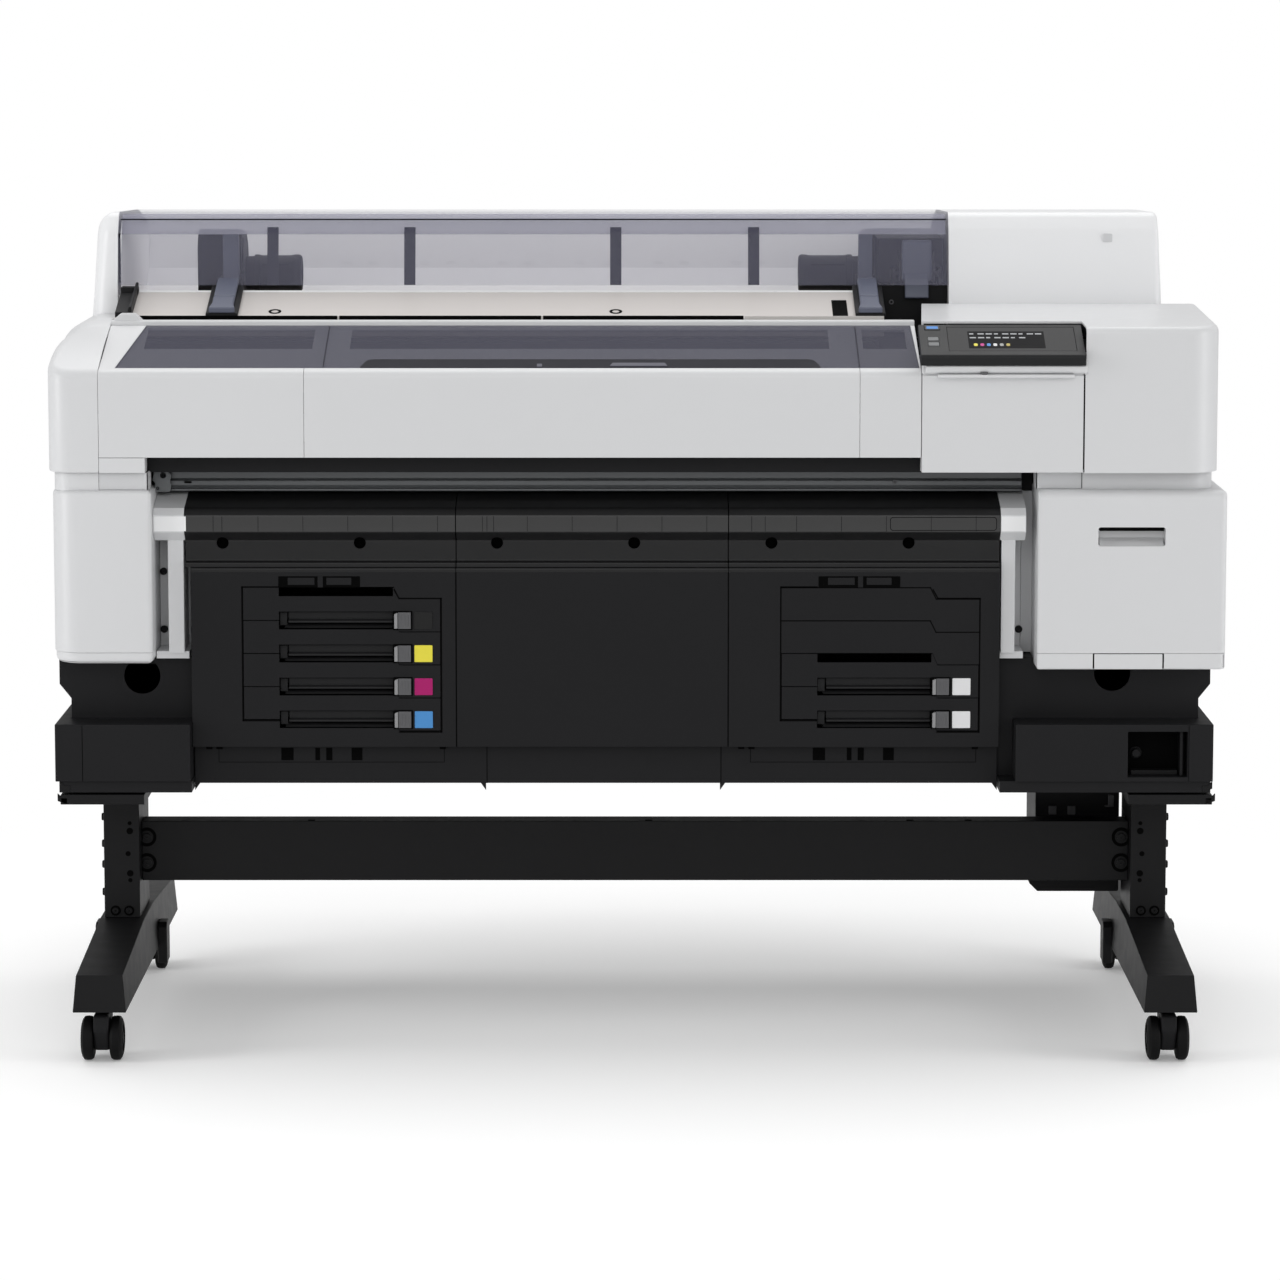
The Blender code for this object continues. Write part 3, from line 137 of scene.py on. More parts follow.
GUNMETAL = surface("blue_grey_lever", (0.105, 0.115, 0.160), 0.36, specular=0.35, tint=0.04, grain=0.06)
PANEL = surface("panel_dark", (0.0120, 0.0125, 0.0135), 0.42, specular=0.22, tint=0.05, grain=0.08)
TINT_ROLL = surface("tinted_roll_cover", (0.215, 0.215, 0.305), 0.14, specular=0.40, tint=0.01, grain=0.0,
                    spread=0.03, alpha=0.17)
TINT_FRONT = surface("tinted_window", (0.070, 0.070, 0.108), 0.16, specular=0.28, tint=0.01, grain=0.0,
                     spread=0.03, alpha=0.50)
LOCK = surface("lock_grey", (0.10, 0.10, 0.105), 0.40, specular=0.3, tint=0.05, grain=0.08)

# brighter copy of the white cover for the upper parts: painted light, standing for the stronger light that
# falls on them
WHITE_PAINTED_LIGHT = surface("white_upper", (0.80, 0.805, 0.815), 0.34, specular=0.45, tint=0.010, grain=0.04)
# brighter, glossier white for thin bright bands: painted highlight
WHITE_PAINTED_HIGHLIGHT = surface("white_painted_highlight", (0.84, 0.845, 0.85), 0.30, specular=0.5, tint=0.01, grain=0.03)
BLACK_LIGHT = surface("black_inner", (0.020, 0.020, 0.021), 0.55, specular=0.15, tint=0.10, grain=0.10)
# lighter black for the front face of the exit guide's nose: painted sheen
GUIDE_PAINTED_SHEEN = surface("guide_nose_painted_sheen", (0.042, 0.042, 0.042), 0.30, specular=0.30, tint=0.06, grain=0.04,
               stretch=(1, 1, 0.1))
LOCK_EDGE = surface("lock_edge", (0.26, 0.26, 0.265), 0.35, specular=0.4, tint=0.04, grain=0.05)
GLASS = surface("screen_glass", (0.004, 0.004, 0.005), 0.14, specular=0.10, tint=0.05, grain=0.0,
                spread=0.02)
DISPLAY = surface("display", (0.002, 0.002, 0.003), 0.30, specular=0.03, tint=0.05, grain=0.0)
MARK = surface("display_mark", (0.42, 0.43, 0.45), 0.4, specular=0.2, tint=0.10, grain=0.0)
KEY = surface("key_grey", (0.16, 0.165, 0.17), 0.45, specular=0.3, tint=0.04, grain=0.05)
KEY_DARK = surface("key_dark", (0.030, 0.031, 0.033), 0.40, specular=0.3, tint=0.04, grain=0.05)
BLUE_MARK = surface("blue_mark", (0.04, 0.22, 0.62), 0.35, specular=0.3, tint=0.02, grain=0.0)
DEEP_BLUE = surface("rib_dark", (0.012, 0.012, 0.018), 0.5, specular=0.1, tint=0.05, grain=0.02)
BAR_BLUE = surface("bar_blue_grey", (0.085, 0.085, 0.11), 0.4, specular=0.3, tint=0.05, grain=0.03)
# pale half-clear band under the top front of the roll cover: painted light for the lit ceiling seen through the
# cover's front
ROLL_EDGE_PAINTED_LIGHT = surface("rolled_edge_painted_light", (0.50, 0.50, 0.58), 0.45, specular=0.2, tint=0.03, grain=0.0, alpha=0.52)
LINER = surface("window_liner", (0.66, 0.66, 0.69), 0.6, specular=0.2, tint=0.04, grain=0.0)
BAY_WALL_PAINTED_GLOW = surface("bay_wall_painted_glow", (0.82, 0.815, 0.83), 0.5, specular=0.2, tint=0.01, grain=0.02)
SCALE_MARK_PAINTED_GLOW = surface("scale_mark", (0.78, 0.775, 0.79), 0.5, specular=0.2, tint=0.02, grain=0.0)
# the bay wall and its scale marks glow faintly though they are no lamps: painted light
for pale, glow in ((BAY_WALL_PAINTED_GLOW, 0.060), (SCALE_MARK_PAINTED_GLOW, 0.045)):
    shader = pale.node_tree.nodes["Principled BSDF"]
    shader.inputs["Emission Color"].default_value = (0.93, 0.925, 1.0, 1)
    shader.inputs["Emission Strength"].default_value = glow

BY_SLOT = {"white_plastic": WHITE, "black_plastic": BLACK, "black_steel": STEEL_BLACK, "grey_rail": RAIL,
           "steel": STEEL, "tinted_plastic": TINT_ROLL, "board_plastic": BOARD, "rubber": RUBBER,
           "blue_grey_plastic": GUNMETAL, "panel_plastic": PANEL}
SLOT_OF = {entry["node"]: entry["material_slot"] for entry in frame["record"]["subparts"]}
for node_name, obj in NODES.items():
    obj.data.materials.clear()
    obj.data.materials.append(BY_SLOT[SLOT_OF[node_name]])


def dress(node_name, mat=None, bevel=0.0010, segments=2):
    """Rounds the edges of a CAD node and gives it a material."""
    obj = NODES[node_name]
    if mat:
        obj.data.materials.clear()
        obj.data.materials.append(mat)
    obj.modifiers.new("weld", "WELD").merge_threshold = 0.00001
    flat = obj.modifiers.new("flat", "DECIMATE")
    flat.decimate_type = "DISSOLVE"
    flat.angle_limit = math.radians(0.5)
    if bevel:
        edge = obj.modifiers.new("edge", "BEVEL")
        edge.width = bevel
        edge.segments = segments
        edge.limit_method = "ANGLE"
        edge.angle_limit = math.radians(35)
        edge.harden_normals = False


# ---- mesh helpers -------------------------------------------------------------------------
def finish_piece(bm, name, mat, body, replaces=(), bevel=0.0, smooth=32, segments=2):
    """Turns a bmesh into a finished piece that rides on a body."""
    bmesh.ops.recalc_face_normals(bm, faces=bm.faces)
    mesh = bpy.data.meshes.new(name)
    bm.to_mesh(mesh)
    bm.free()
    obj = bpy.data.objects.new(name, mesh)
    bpy.context.scene.collection.objects.link(obj)
    return settle(obj, mat, body, replaces, bevel, smooth, segments)


def settle(obj, mat, body, replaces=(), bevel=0.0, smooth=32, segments=2):
    mesh = obj.data
    mesh.materials.clear()
    mesh.materials.append(mat)
    if smooth:
        mesh.shade_smooth()
        mesh.set_sharp_from_angle(angle=math.radians(smooth))
    if bevel:
        edge = obj.modifiers.new("edge", "BEVEL")
        edge.width = bevel
        edge.segments = segments
        edge.limit_method = "ANGLE"
        edge.angle_limit = math.radians(35)
    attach(obj, body)
    if replaces:
        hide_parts(*replaces)
        REPLACED.update(replaces)
    return obj


def loose(bm, name="tool"):
    bmesh.ops.recalc_face_normals(bm, faces=bm.faces)
    mesh = bpy.data.meshes.new(name)
    bm.to_mesh(mesh)
    bm.free()
    obj = bpy.data.objects.new(name, mesh)
    bpy.context.scene.collection.objects.link(obj)
    return obj


def boolean(base, tool, operation="DIFFERENCE"):
    """Applies one Boolean at once and drops the tool."""
    step = base.modifiers.new("step", "BOOLEAN")
    step.operation = operation
    step.solver = "EXACT"
    step.object = tool
    bpy.context.view_layer.update()
    graph = bpy.context.evaluated_depsgraph_get()
    mesh = bpy.data.meshes.new_from_object(base.evaluated_get(graph))
    base.modifiers.clear()
    base.data = mesh
    bpy.data.objects.remove(tool, do_unlink=True)
    return base


def stack(bm, rings, close=True):
    """Joins rings of points, in order, into a closed body."""
    made = [[bm.verts.new(p) for p in ring] for ring in rings]
    count = len(rings[0])
    for a, b in zip(made, made[1:]):
        for i in range(count):
            j = (i + 1) % count
            bm.faces.new((a[i], a[j], b[j], b[i]))
    if close:
        bm.faces.new(made[0])
        bm.faces.new(made[-1])
    return made


AXES = {"X": lambda u, v, w: (w, u, v), "Y": lambda u, v, w: (u, w, v), "Z": lambda u, v, w: (u, v, w)}


def prism(axis, outline, low, high, bm=None):
    bm = bm or bmesh.new()
    stack(bm, [[AXES[axis](u, v, w) for u, v in outline] for w in (low, high)])
    return bm


def block(x, y, z, bm=None):
    return prism("Z", [(x[0], y[0]), (x[1], y[0]), (x[1], y[1]), (x[0], y[1])], z[0], z[1], bm)


def circle(centre, radius, count=24):
    turns = [2 * math.pi * i / count for i in range(count)]
    return [(centre[0] + radius * math.cos(t), centre[1] + radius * math.sin(t)) for t in turns]


def round_corners(points, radii, steps=5, closed=True):
    """Rounds the corners of an outline. radii is one number, or one per point."""
    if not isinstance(radii, (list, tuple)):
        radii = [radii] * len(points)
    path = [Vector(p) for p in points]
    out = []
    last = len(path) - 1
    for i, here in enumerate(path):
        if radii[i] <= 0 or (not closed and i in (0, last)):
            out.append(tuple(here))
            continue
        a = (path[i - 1] - here)
        b = (path[(i + 1) % len(path)] - here)
        la, lb = a.length, b.length
        a.normalize()
        b.normalize()
        half = a.angle(b) / 2
        if half > math.pi / 2 - 0.02:
            out.append(tuple(here))
            continue
        reach = min(radii[i] / math.tan(half), la * 0.48, lb * 0.48)
        radius = reach * math.tan(half)
        middle = here + (a + b).normalized() * (radius / math.sin(half))
        start, end = here + a * reach - middle, here + b * reach - middle
        turn = start.angle_signed(end)
        for k in range(steps + 1):
            t = -turn * k / steps
            out.append((middle.x + start.x * math.cos(t) - start.y * math.sin(t),
                        middle.y + start.x * math.sin(t) + start.y * math.cos(t)))
    return out


def sheet(points, thickness):
    """Outline of a bent sheet whose outer skin is the points, with the wall to their left."""
    path = [Vector(p) for p in points]
    inner = []
    for i, point in enumerate(path):
        before = (point - path[i - 1]).normalized() if i else None
        after = (path[i + 1] - point).normalized() if i + 1 < len(path) else None
        one, two = before or after, after or before
        side = (Vector((-one.y, one.x)) + Vector((-two.y, two.x))).normalized()
        inner.append(point + side * thickness / max(0.3, side.dot(Vector((-one.y, one.x)))))
    return [tuple(p) for p in path] + [tuple(p) for p in reversed(inner)]


def cover(x, y, bottom, top, corners=(0, 0, 0, 0), edges=(0, 0, 0, 0), breaks=(), foot=0.0, steps=6):
    """Closed rounded cover. corners are plan radii at front left, front right, back right and back left.
    edges are the top edge radii along front, right, back and left: numbers, or functions of Y.
    top gives the height at Y, and breaks are the Y values where its slope changes."""
    def size(edge, at):
        return edge(at) if callable(edge) else edge
    sides = [((0, -1), edges[0]), ((1, 0), edges[1]), ((0, 1), edges[2]), ((-1, 0), edges[3])]
    spots = [(x[0], y[0]), (x[1], y[0]), (x[1], y[1]), (x[0], y[1])]
    ring = []      # (sharp corner, plan radius, first side's normal and edge, second side's, share of the turn)
    for i in range(4):
        before, after = sides[i - 1], sides[i]
        here = spots[i]
        first, second = size(before[1], here[1]), size(after[1], here[1])
        for k in (range(9) if corners[i] else (4,)):
            ring.append((here, corners[i], before[0], first, after[0], second, k / 8))
        if i in (1, 3):
            along = sorted(b for b in breaks if y[0] + corners[0] < b < y[1] - corners[2])
            for b in (along if i == 1 else reversed(along)):
                ring.append(((here[0], b), 0, after[0], size(after[1], b), None, 0, 0))

    def spot(entry, first, second):
        """Point of the plan after its two sides have moved in by first and second."""
        here, radius, n1, s1, n2, s2, share = entry
        if n2 is None:
            return here[0] - n1[0] * first, here[1] - n1[1] * first
        left = max(0.0, radius - max(first, second))
        turn = math.atan2(n1[1], n1[0]) + math.pi / 2 * share
        return (here[0] - n1[0] * (first + left) - n2[0] * (second + left) + math.cos(turn) * left,
                here[1] - n1[1] * (first + left) - n2[1] * (second + left) + math.sin(turn) * left)
    rings = []
    for k in range(4 if foot else 1):
        t = math.pi / 2 * k / 3
        inset = foot * (1 - math.sin(t))
        rings.append([Vector((*spot(entry, inset, inset),
                              bottom + foot * (1 - math.cos(t)))) for entry in ring])
    for k in range(steps + 1):
        t = math.pi / 2 * k / steps
        line = []
        for entry in ring:
            here, radius, n1, s1, n2, s2, share = entry
            u, v = spot(entry, s1 * (1 - math.cos(t)), s2 * (1 - math.cos(t)))
            drop = s1 if n2 is None else (s1 * (1 - share) + s2 * share if radius else max(s1, s2))
            line.append(Vector((u, v, top(v) - drop * (1 - math.sin(t)))))
        rings.append(line)
    bm = bmesh.new()
    made = stack(bm, rings)
    lid = made[-1]
    for b in breaks:
        pair = [v for v in lid if abs(v.co.y - b) < 1e-5]
        if len(pair) == 2:
            bmesh.ops.connect_verts(bm, verts=pair)
    bmesh.ops.remove_doubles(bm, verts=bm.verts, dist=1e-6)
    bmesh.ops.dissolve_degenerate(bm, dist=1e-6, edges=bm.edges)
    return bm


def bolt(name, centre, axis, radius, body, mat=None, height=0.003, hexed=True):
    """Cap screw: rounded head with a hexagonal socket. axis is the direction it faces."""
    bm = bmesh.new()
    rings = []
    for r, h in ((radius * 1.0, 0), (radius, height * 0.7), (radius * 0.86, height),
                 (radius * 0.55, height)):
        rings.append([Vector((r * math.cos(2 * math.pi * i / 24), r * math.sin(2 * math.pi * i / 24), h))
                      for i in range(24)])
    inner = []
    for i in range(24):
        t = 2 * math.pi * i / 24
        reach = radius * 0.42
        if hexed:
            reach *= math.cos(math.pi / 6) / math.cos((t % (math.pi / 3)) - math.pi / 6)
        inner.append(Vector((reach * math.cos(t), reach * math.sin(t), height)))
    rings.append(inner)
    rings.append([Vector((p.x, p.y, height * 0.25)) for p in inner])
    stack(bm, rings)
    turn = Vector((0, 0, 1)).rotation_difference(Vector(axis)).to_matrix().to_4x4()
    bm.transform(Matrix.Translation(centre) @ turn)
    return finish_piece(bm, name, mat or STEEL_BLACK, body, smooth=30)


# ---- stations -----------------------------------------------------------------------------
def span(node_name, axis):
    low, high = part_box(node_name)
    return (low[axis], high[axis])


LEFT = span("left_upper_cover", 0)[0]
FACE = span("front_cover", 1)[0]
BODY_BACK = span("left_lower_cover", 1)[1]
BACK = CAD_HIGH.y
UPPER_Z = span("left_upper_cover", 2)[0] + 0.0237
COVER_BOTTOM = span("front_cover", 2)[0]
FACE_TOP = COVER_BOTTOM + 0.108
SLOPE = 0.0482 / 0.156
LEDGE_TOP = span("front_surround", 2)[1]
ROLL_Y = span("roll_cover", 1)[0]
ROLL_BOTTOM, ROLL_TOP = span("roll_cover", 2)[0], span("roll_cover", 2)[1]
BROW_Z = FACE_TOP + 0.012 - 0.0115 * SLOPE    # where the face would meet the slope, unrounded
SLOPE_END = FACE + 0.1675


def slope_top(y):
    if y <= SLOPE_END:
        return BROW_Z + (y - FACE) * SLOPE
    return min(LEDGE_TOP, BROW_Z + (SLOPE_END - FACE) * SLOPE + (y - SLOPE_END) * 0.45)


def roll_corners():
    """Corners of the roll bay's outer skin in (Y, Z), front edge to back edge, and the radius of each."""
    low = ROLL_BOTTOM
    points = [(ROLL_Y, low), (ROLL_Y + 0.014, ROLL_TOP - 0.026), (ROLL_Y + 0.030, ROLL_TOP),
              (BACK - 0.150, ROLL_TOP - 0.008), (BACK - 0.030, ROLL_TOP - 0.030), (BACK, ROLL_TOP - 0.080),
              (BACK, low + 0.0078)]
    return points, [0, 0.03, 0.018, 0.25, 0.05, 0.05, 0]


def roll_outline():
    """Outer skin of the roll bay's covers, in (Y, Z), from the front edge over the top to the back."""
    return round_corners(*roll_corners(), 6, closed=False)


# ---- white covers -------------------------------------------------------------------------
def left_upper():
    """Left end cover: its outer top edge is rounded more and more towards the back."""
    x = span("front_surround", 0)[0] - 0.0005

    def growing(y):
        return 0.012 + 0.036 * min(1.0, max(0.0, (y - FACE) / (SLOPE_END - FACE))) ** 2.5

    def arch(y):
        t = min(1.0, max(0.0, (y - FACE) / (SLOPE_END - FACE)))
        return slope_top(y) + 0.005 * math.sin(math.pi * t)
    knee = SLOPE_END + (LEDGE_TOP - slope_top(SLOPE_END)) / 0.45
    breaks = [FACE + 0.05 + 0.015 * k for k in range(8)] + [SLOPE_END,
                                                            knee] + [knee + 0.015 * (k + 1) for k in range(7)]
    outer = loose(cover((LEFT, x), (FACE, BODY_BACK), UPPER_Z, arch, (0.034, 0, 0, 0.012),
                        (0.012, 0, 0.004, growing), breaks, foot=0.003, steps=8))
    inner = loose(cover((LEFT + 0.003, x + 0.02), (FACE + 0.003, BODY_BACK - 0.003), UPPER_Z - 0.02,
                        lambda y: arch(y) - 0.003, (0.031, 0, 0, 0.009),
                        (0.009, 0, 0.003, lambda y: growing(y) - 0.003),
                        breaks, steps=6))
    obj = boolean(outer, inner)
    neck_top = UPPER_Z + 0.001
    neck_low = span("left_lower_cover", 2)[1] - 0.0010
    neck = loose(cover((LEFT + 0.007, x - 0.001), (FACE + 0.008, BODY_BACK - 0.002), neck_low,
                       lambda y: neck_top,
                       (0.028, 0, 0, 0.010)))
    hollow = loose(cover((LEFT + 0.010, x + 0.02), (FACE + 0.011, BODY_BACK + 0.02), neck_low - 0.02,
                         lambda y: neck_top + 0.02, (0.025, 0, 0, 0)))
    obj = boolean(obj, boolean(neck, hollow), "UNION")
    obj.name = "left_upper_shell"
    settle(obj, WHITE, "frame", ["left_upper_cover"], bevel=0.0006, smooth=30)


def roll_cap():
    """White end cap of the roll bay, rounded towards the outside."""
    x_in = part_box("roll_cover")[0].x - 0.0005
    x_out = x_in - 0.040
    foot = slope_top(0) - 0.05
    corners, radii = roll_corners()
    corners = [Vector(p) for p in corners[:-1] + [(BACK, ROLL_BOTTOM - 0.0475),
                                                  (BODY_BACK + 0.004, FACE_TOP - 0.010),
                                                  (BODY_BACK + 0.004, foot), (ROLL_Y, foot)]]
    radii = radii[:-1] + [0, 0, 0, 0]

    def inset(amount):
        moved = []
        for i, here in enumerate(corners):
            a = (here - corners[i - 1]).normalized()
            b = (corners[(i + 1) % len(corners)] - here).normalized()
            inward = Vector((a.y + b.y, -a.x - b.x)).normalized()
            step = amount * (0.12 if here.y < 0.95 else 1.0) / max(0.5, inward.dot(Vector((a.y, -a.x))))
            moved.append(here + inward * step)
            if here.y < foot + 0.001:
                moved[-1].y = foot
        return round_corners([tuple(p) for p in moved], [max(0.001, r - amount) if r else 0 for r in radii],
                             6)
    rings = []
    for k in range(9):
        t = math.pi / 2 * k / 8
        lean = 0.010 * (1 - 0.6 * k / 8) / (ROLL_TOP - foot)
        rings.append([(x_out + 0.030 * (1 - math.cos(t)) + lean * (z - foot), y, z)
                      for y, z in inset(0.034 * (1 - math.sin(t)))])
    rings.append([(x_in, y, z) for y, z in inset(0.0)])
    bm = bmesh.new()
    stack(bm, rings)
    # the cap uses the brighter white: painted light
    finish_piece(bm, "roll_end_cap", WHITE_PAINTED_LIGHT, "frame", smooth=40)


def left_lower():
    """Lower left side cover with its shoulder."""
    x = span("left_lower_cover", 0)
    z = span("left_lower_cover", 2)
    frame_side = span("left_frame", 0)[0] + 0.0067
    strip = z[0] + 0.0155
    for name, low, high, inset, foot in (("left_lower_shell", strip + 0.0002, z[1], 0.0, 0.0),
                                         ("left_lower_strip", z[0], strip, 0.0015, 0.008)):
        edge = 0.007 if high == z[1] else 0.0008
        outer = loose(cover((x[0] + inset, x[1]), (FACE + inset, BODY_BACK), low, lambda y: high,
                            (0.040, 0.006, 0, 0.008),
                            (edge, edge, edge, edge), foot=foot))
        hollow = loose(cover((x[0] + inset + 0.0025, x[1] - 0.0025), (FACE + inset + 0.0025, -0.18),
                             low + 0.002,
                             lambda y: high - 0.002, (0.037, 0.004, 0, 0)))
        obj = boolean(outer, hollow)
        neck = loose(block((frame_side, x[1] + 0.01), (-0.2003, BODY_BACK + 0.01),
                           (z[0] - 0.01, z[1] + 0.01)))
        obj = boolean(obj, neck)
        shoulder = span("left_base_cover", 2)[1] + 0.0848
        obj = boolean(obj, loose(block((frame_side, x[1] + 0.01), (-0.2503, BODY_BACK + 0.01),
                                       (z[0] - 0.01, shoulder))))
        obj.name = name
        settle(obj, WHITE, "frame", ["left_lower_cover"] if inset == 0.0 else (),
               bevel=0.0006, smooth=30)


def right_lower():
    """Right side cover with the service door."""
    x = span("right_lower_cover", 0)
    z = span("right_lower_cover", 2)
    door_z = span("right_lower_door", 2)
    split = span("right_lower_door", 1)[1] + 0.0005
    frame_side = span("right_frame", 0)[1] - 0.0067
    outer = loose(cover(x, (FACE, BODY_BACK), z[0], lambda y: z[1], (0.003, 0.010, 0.006, 0.0),
                        (0.002, 0.008, 0.004, 0.002), foot=0.003))
    outer = boolean(outer, loose(block((x[0] - 0.01, x[1] + 0.01), (FACE - 0.01, split),
                                       (door_z[0] - 0.0005, z[1] + 0.01))))
    wall = 0.0025
    outer = boolean(outer, loose(block((x[0] + wall, x[1] - wall), (FACE + wall, -0.18),
                                       (z[0] + wall, door_z[0] - 0.003))))
    outer = boolean(outer, loose(block((x[0] + wall, x[1] - wall), (split - 0.02, -0.18),
                                       (door_z[0] - 0.005, z[1] - wall))))
    outer = boolean(outer, loose(block((x[0] - 0.01, frame_side), (-0.2003, BODY_BACK + 0.01),
                                       (z[0] - 0.01, z[1] + 0.01))))
    shoulder = span("right_base_cover", 2)[1] + 0.0848
    outer = boolean(outer, loose(block((x[0] - 0.01, frame_side), (-0.2503, BODY_BACK + 0.01),
                                       (z[0] - 0.01, shoulder))))
    # finger tab in the sill
    tab_x = (x[1] - 0.1795, x[1] - 0.0865)
    gap = loose(block((tab_x[0] - 0.0022, tab_x[1] + 0.0022), (FACE - 0.01, FACE + 0.0040),
                      (z[0] - 0.01, door_z[0] + 0.01)))
    outer = boolean(outer, gap)
    outer.name = "right_lower_shell"
    settle(outer, WHITE, "frame", ["right_lower_cover"], bevel=0.0005, smooth=30)
    tab = cover(tab_x, (FACE, FACE + 0.0016), z[0] + 0.0005, lambda y: door_z[0] - 0.0012)
    finish_piece(tab, "right_sill_tab", WHITE, "frame", bevel=0.0005)
    # deep-black block inside the tab's gap: painted shade
    shade = block((tab_x[0] - 0.0020, tab_x[1] + 0.0020), (FACE + 0.0026, FACE + 0.0036),
                  (z[0] + 0.001, door_z[0] - 0.0006))
    finish_piece(shade, "right_sill_painted_shade", DEEP, "frame")
    # service door
    door = loose(cover(x, (FACE, split - 0.0001), door_z[0], lambda y: z[1], (0.004, 0.010, 0, 0),
                       (0.014, 0.008, 0, 0.003), foot=0.0, steps=8))
    hollow = loose(cover((x[0] + 0.003, x[1] - 0.003), (FACE + 0.003, split + 0.01), door_z[0] + 0.003,
                         lambda y: z[1] - 0.003, (0.001, 0.008, 0, 0), (0.011, 0.005, 0, 0.001), steps=6))
    door = boolean(door, hollow)
    pull_x = (x[1] - 0.176, x[1] - 0.0843)
    pull_z = (z[1] - 0.0763, z[1] - 0.0503)
    pocket = round_corners([(pull_x[0] - 0.003, pull_z[0] - 0.003), (pull_x[1] + 0.003, pull_z[0] - 0.003),
                            (pull_x[1] + 0.003, pull_z[1] + 0.003), (pull_x[0] - 0.003, pull_z[1] + 0.003)],
                            0.005)
    door = boolean(door, loose(prism("Y", pocket, FACE + 0.0015, FACE + 0.0222)), "UNION")
    mouth = round_corners([(pull_x[0], pull_z[0]), (pull_x[1], pull_z[0]), (pull_x[1], pull_z[1]),
                           (pull_x[0], pull_z[1])], 0.0035)
    door = boolean(door, loose(prism("Y", mouth, FACE - 0.01, FACE + 0.0195)))
    door.name = "service_door_shell"
    settle(door, WHITE, "service_door", ["right_lower_door"], bevel=0.0007, smooth=30)
    # sloping floor of the pull, and the dark latch line at its top
    ramp = prism("X", [(FACE + 0.002, pull_z[0] + 0.0002), (FACE + 0.0193, pull_z[0] + 0.0002),
                       (FACE + 0.0193, pull_z[0] + 0.010)], pull_x[0] + 0.002, pull_x[1] - 0.002)
    finish_piece(ramp, "door_pull_ramp", WHITE, "service_door", bevel=0.0004)
    line = block((pull_x[0] + 0.002, pull_x[1] - 0.002), (FACE + 0.0015, FACE + 0.019),
                 (pull_z[1] - 0.0052, pull_z[1] - 0.0004))
    finish_piece(line, "door_latch_bar", DEEP, "service_door", bevel=0.0005)


def right_upper():
    """Right end cover, hollow behind the access cover and the panel."""
    x = span("right_upper_cover", 0)
    access = span("head_access_cover", 0)
    front, back = 0.9865, 1.0

    def top(y):
        knee = FACE + 0.2875
        return back - (y - knee) * 0.115 if y >= knee else front + (y - FACE) * (back - front) / 0.2875
    breaks = [FACE + 0.2875]
    outer = loose(cover(x, (FACE, BODY_BACK), UPPER_Z, top, (0.002, 0.050, 0.012, 0.001),
                        (0.010, 0.010, 0.004, 0.002),
                        breaks, foot=0.0, steps=8))
    inner = loose(cover((x[0] - 0.02, x[1] - 0.003), (FACE + 0.003, BODY_BACK - 0.003), UPPER_Z - 0.02,
                        lambda y: top(y) - 0.003, (0, 0.047, 0.009, 0), (0.008, 0.007, 0.003, 0), breaks))
    for solid, wall in ((outer, 0.0), (inner, 0.003)):
        plan = [(x[0] - 0.03, FACE + 0.030), (x[0] + 0.0005 + wall, FACE + 0.030),
                (x[0] + 0.018 + wall, ROLL_Y - 0.006),
                (x[0] + 0.018 + wall, ROLL_Y + 0.010), (x[0] - 0.03, ROLL_Y + 0.010)]
        boolean(solid, loose(prism("Z", plan, UPPER_Z - 0.04, 1.05)))
    obj = boolean(outer, inner)
    neck_low = span("right_lower_cover", 2)[1] - 0.0010
    neck = loose(cover((access[1] + 0.0005, x[1] - 0.005), (FACE + 0.024, BODY_BACK - 0.002), neck_low,
                       lambda y: UPPER_Z + 0.002,
                       (0, 0.040, 0.010, 0)))
    hollow = loose(cover((x[0] - 0.01, x[1] - 0.008), (FACE + 0.027, BODY_BACK + 0.01), neck_low - 0.01,
                         lambda y: UPPER_Z + 0.01, (0, 0.037, 0, 0)))
    obj = boolean(obj, boolean(neck, hollow), "UNION")
    roll_right = span("roll_cover", 0)[1] + 0.0005
    obj = boolean(obj, loose(block((x[0] - 0.01, roll_right + 0.0003), (ROLL_Y - 0.002, BODY_BACK + 0.01),
                                   (UPPER_Z - 0.03, 1.01))))
    shelf = (front - 0.0625, front - 0.0515)
    obj = boolean(obj, loose(block((x[0] - 0.01, access[1] + 0.001), (FACE - 0.01, FACE + 0.022),
                                   (UPPER_Z - 0.01, shelf[0]))))
    wedge = [(FACE - 0.03, shelf[1]), (FACE - 0.012, shelf[1]), (FACE + 0.070, shelf[1] + 0.0375),
             (FACE + 0.070, back + 0.05), (FACE - 0.03, back + 0.05)]
    obj = boolean(obj, loose(prism("X", wedge, x[0] - 0.01, access[1] + 0.003)))
    tray_back = FACE + 0.075
    tray = [(FACE - 0.010, shelf[0]), (FACE + 0.030, shelf[0]), (tray_back, shelf[0] + 0.020),
            (tray_back, shelf[0] + 0.045), (tray_back - 0.005, shelf[0] + 0.045),
            (FACE - 0.012, shelf[1] - 0.0005)]
    tray = round_corners(tray, [0.006, 0, 0, 0, 0, 0.002], 5)
    obj = boolean(obj, loose(prism("X", tray, access[0] + 0.0040, access[1] + 0.0040)), "UNION")
    obj.name = "right_upper_shell"
    settle(obj, WHITE, "frame", ["right_upper_cover"], bevel=0.0008, smooth=30)


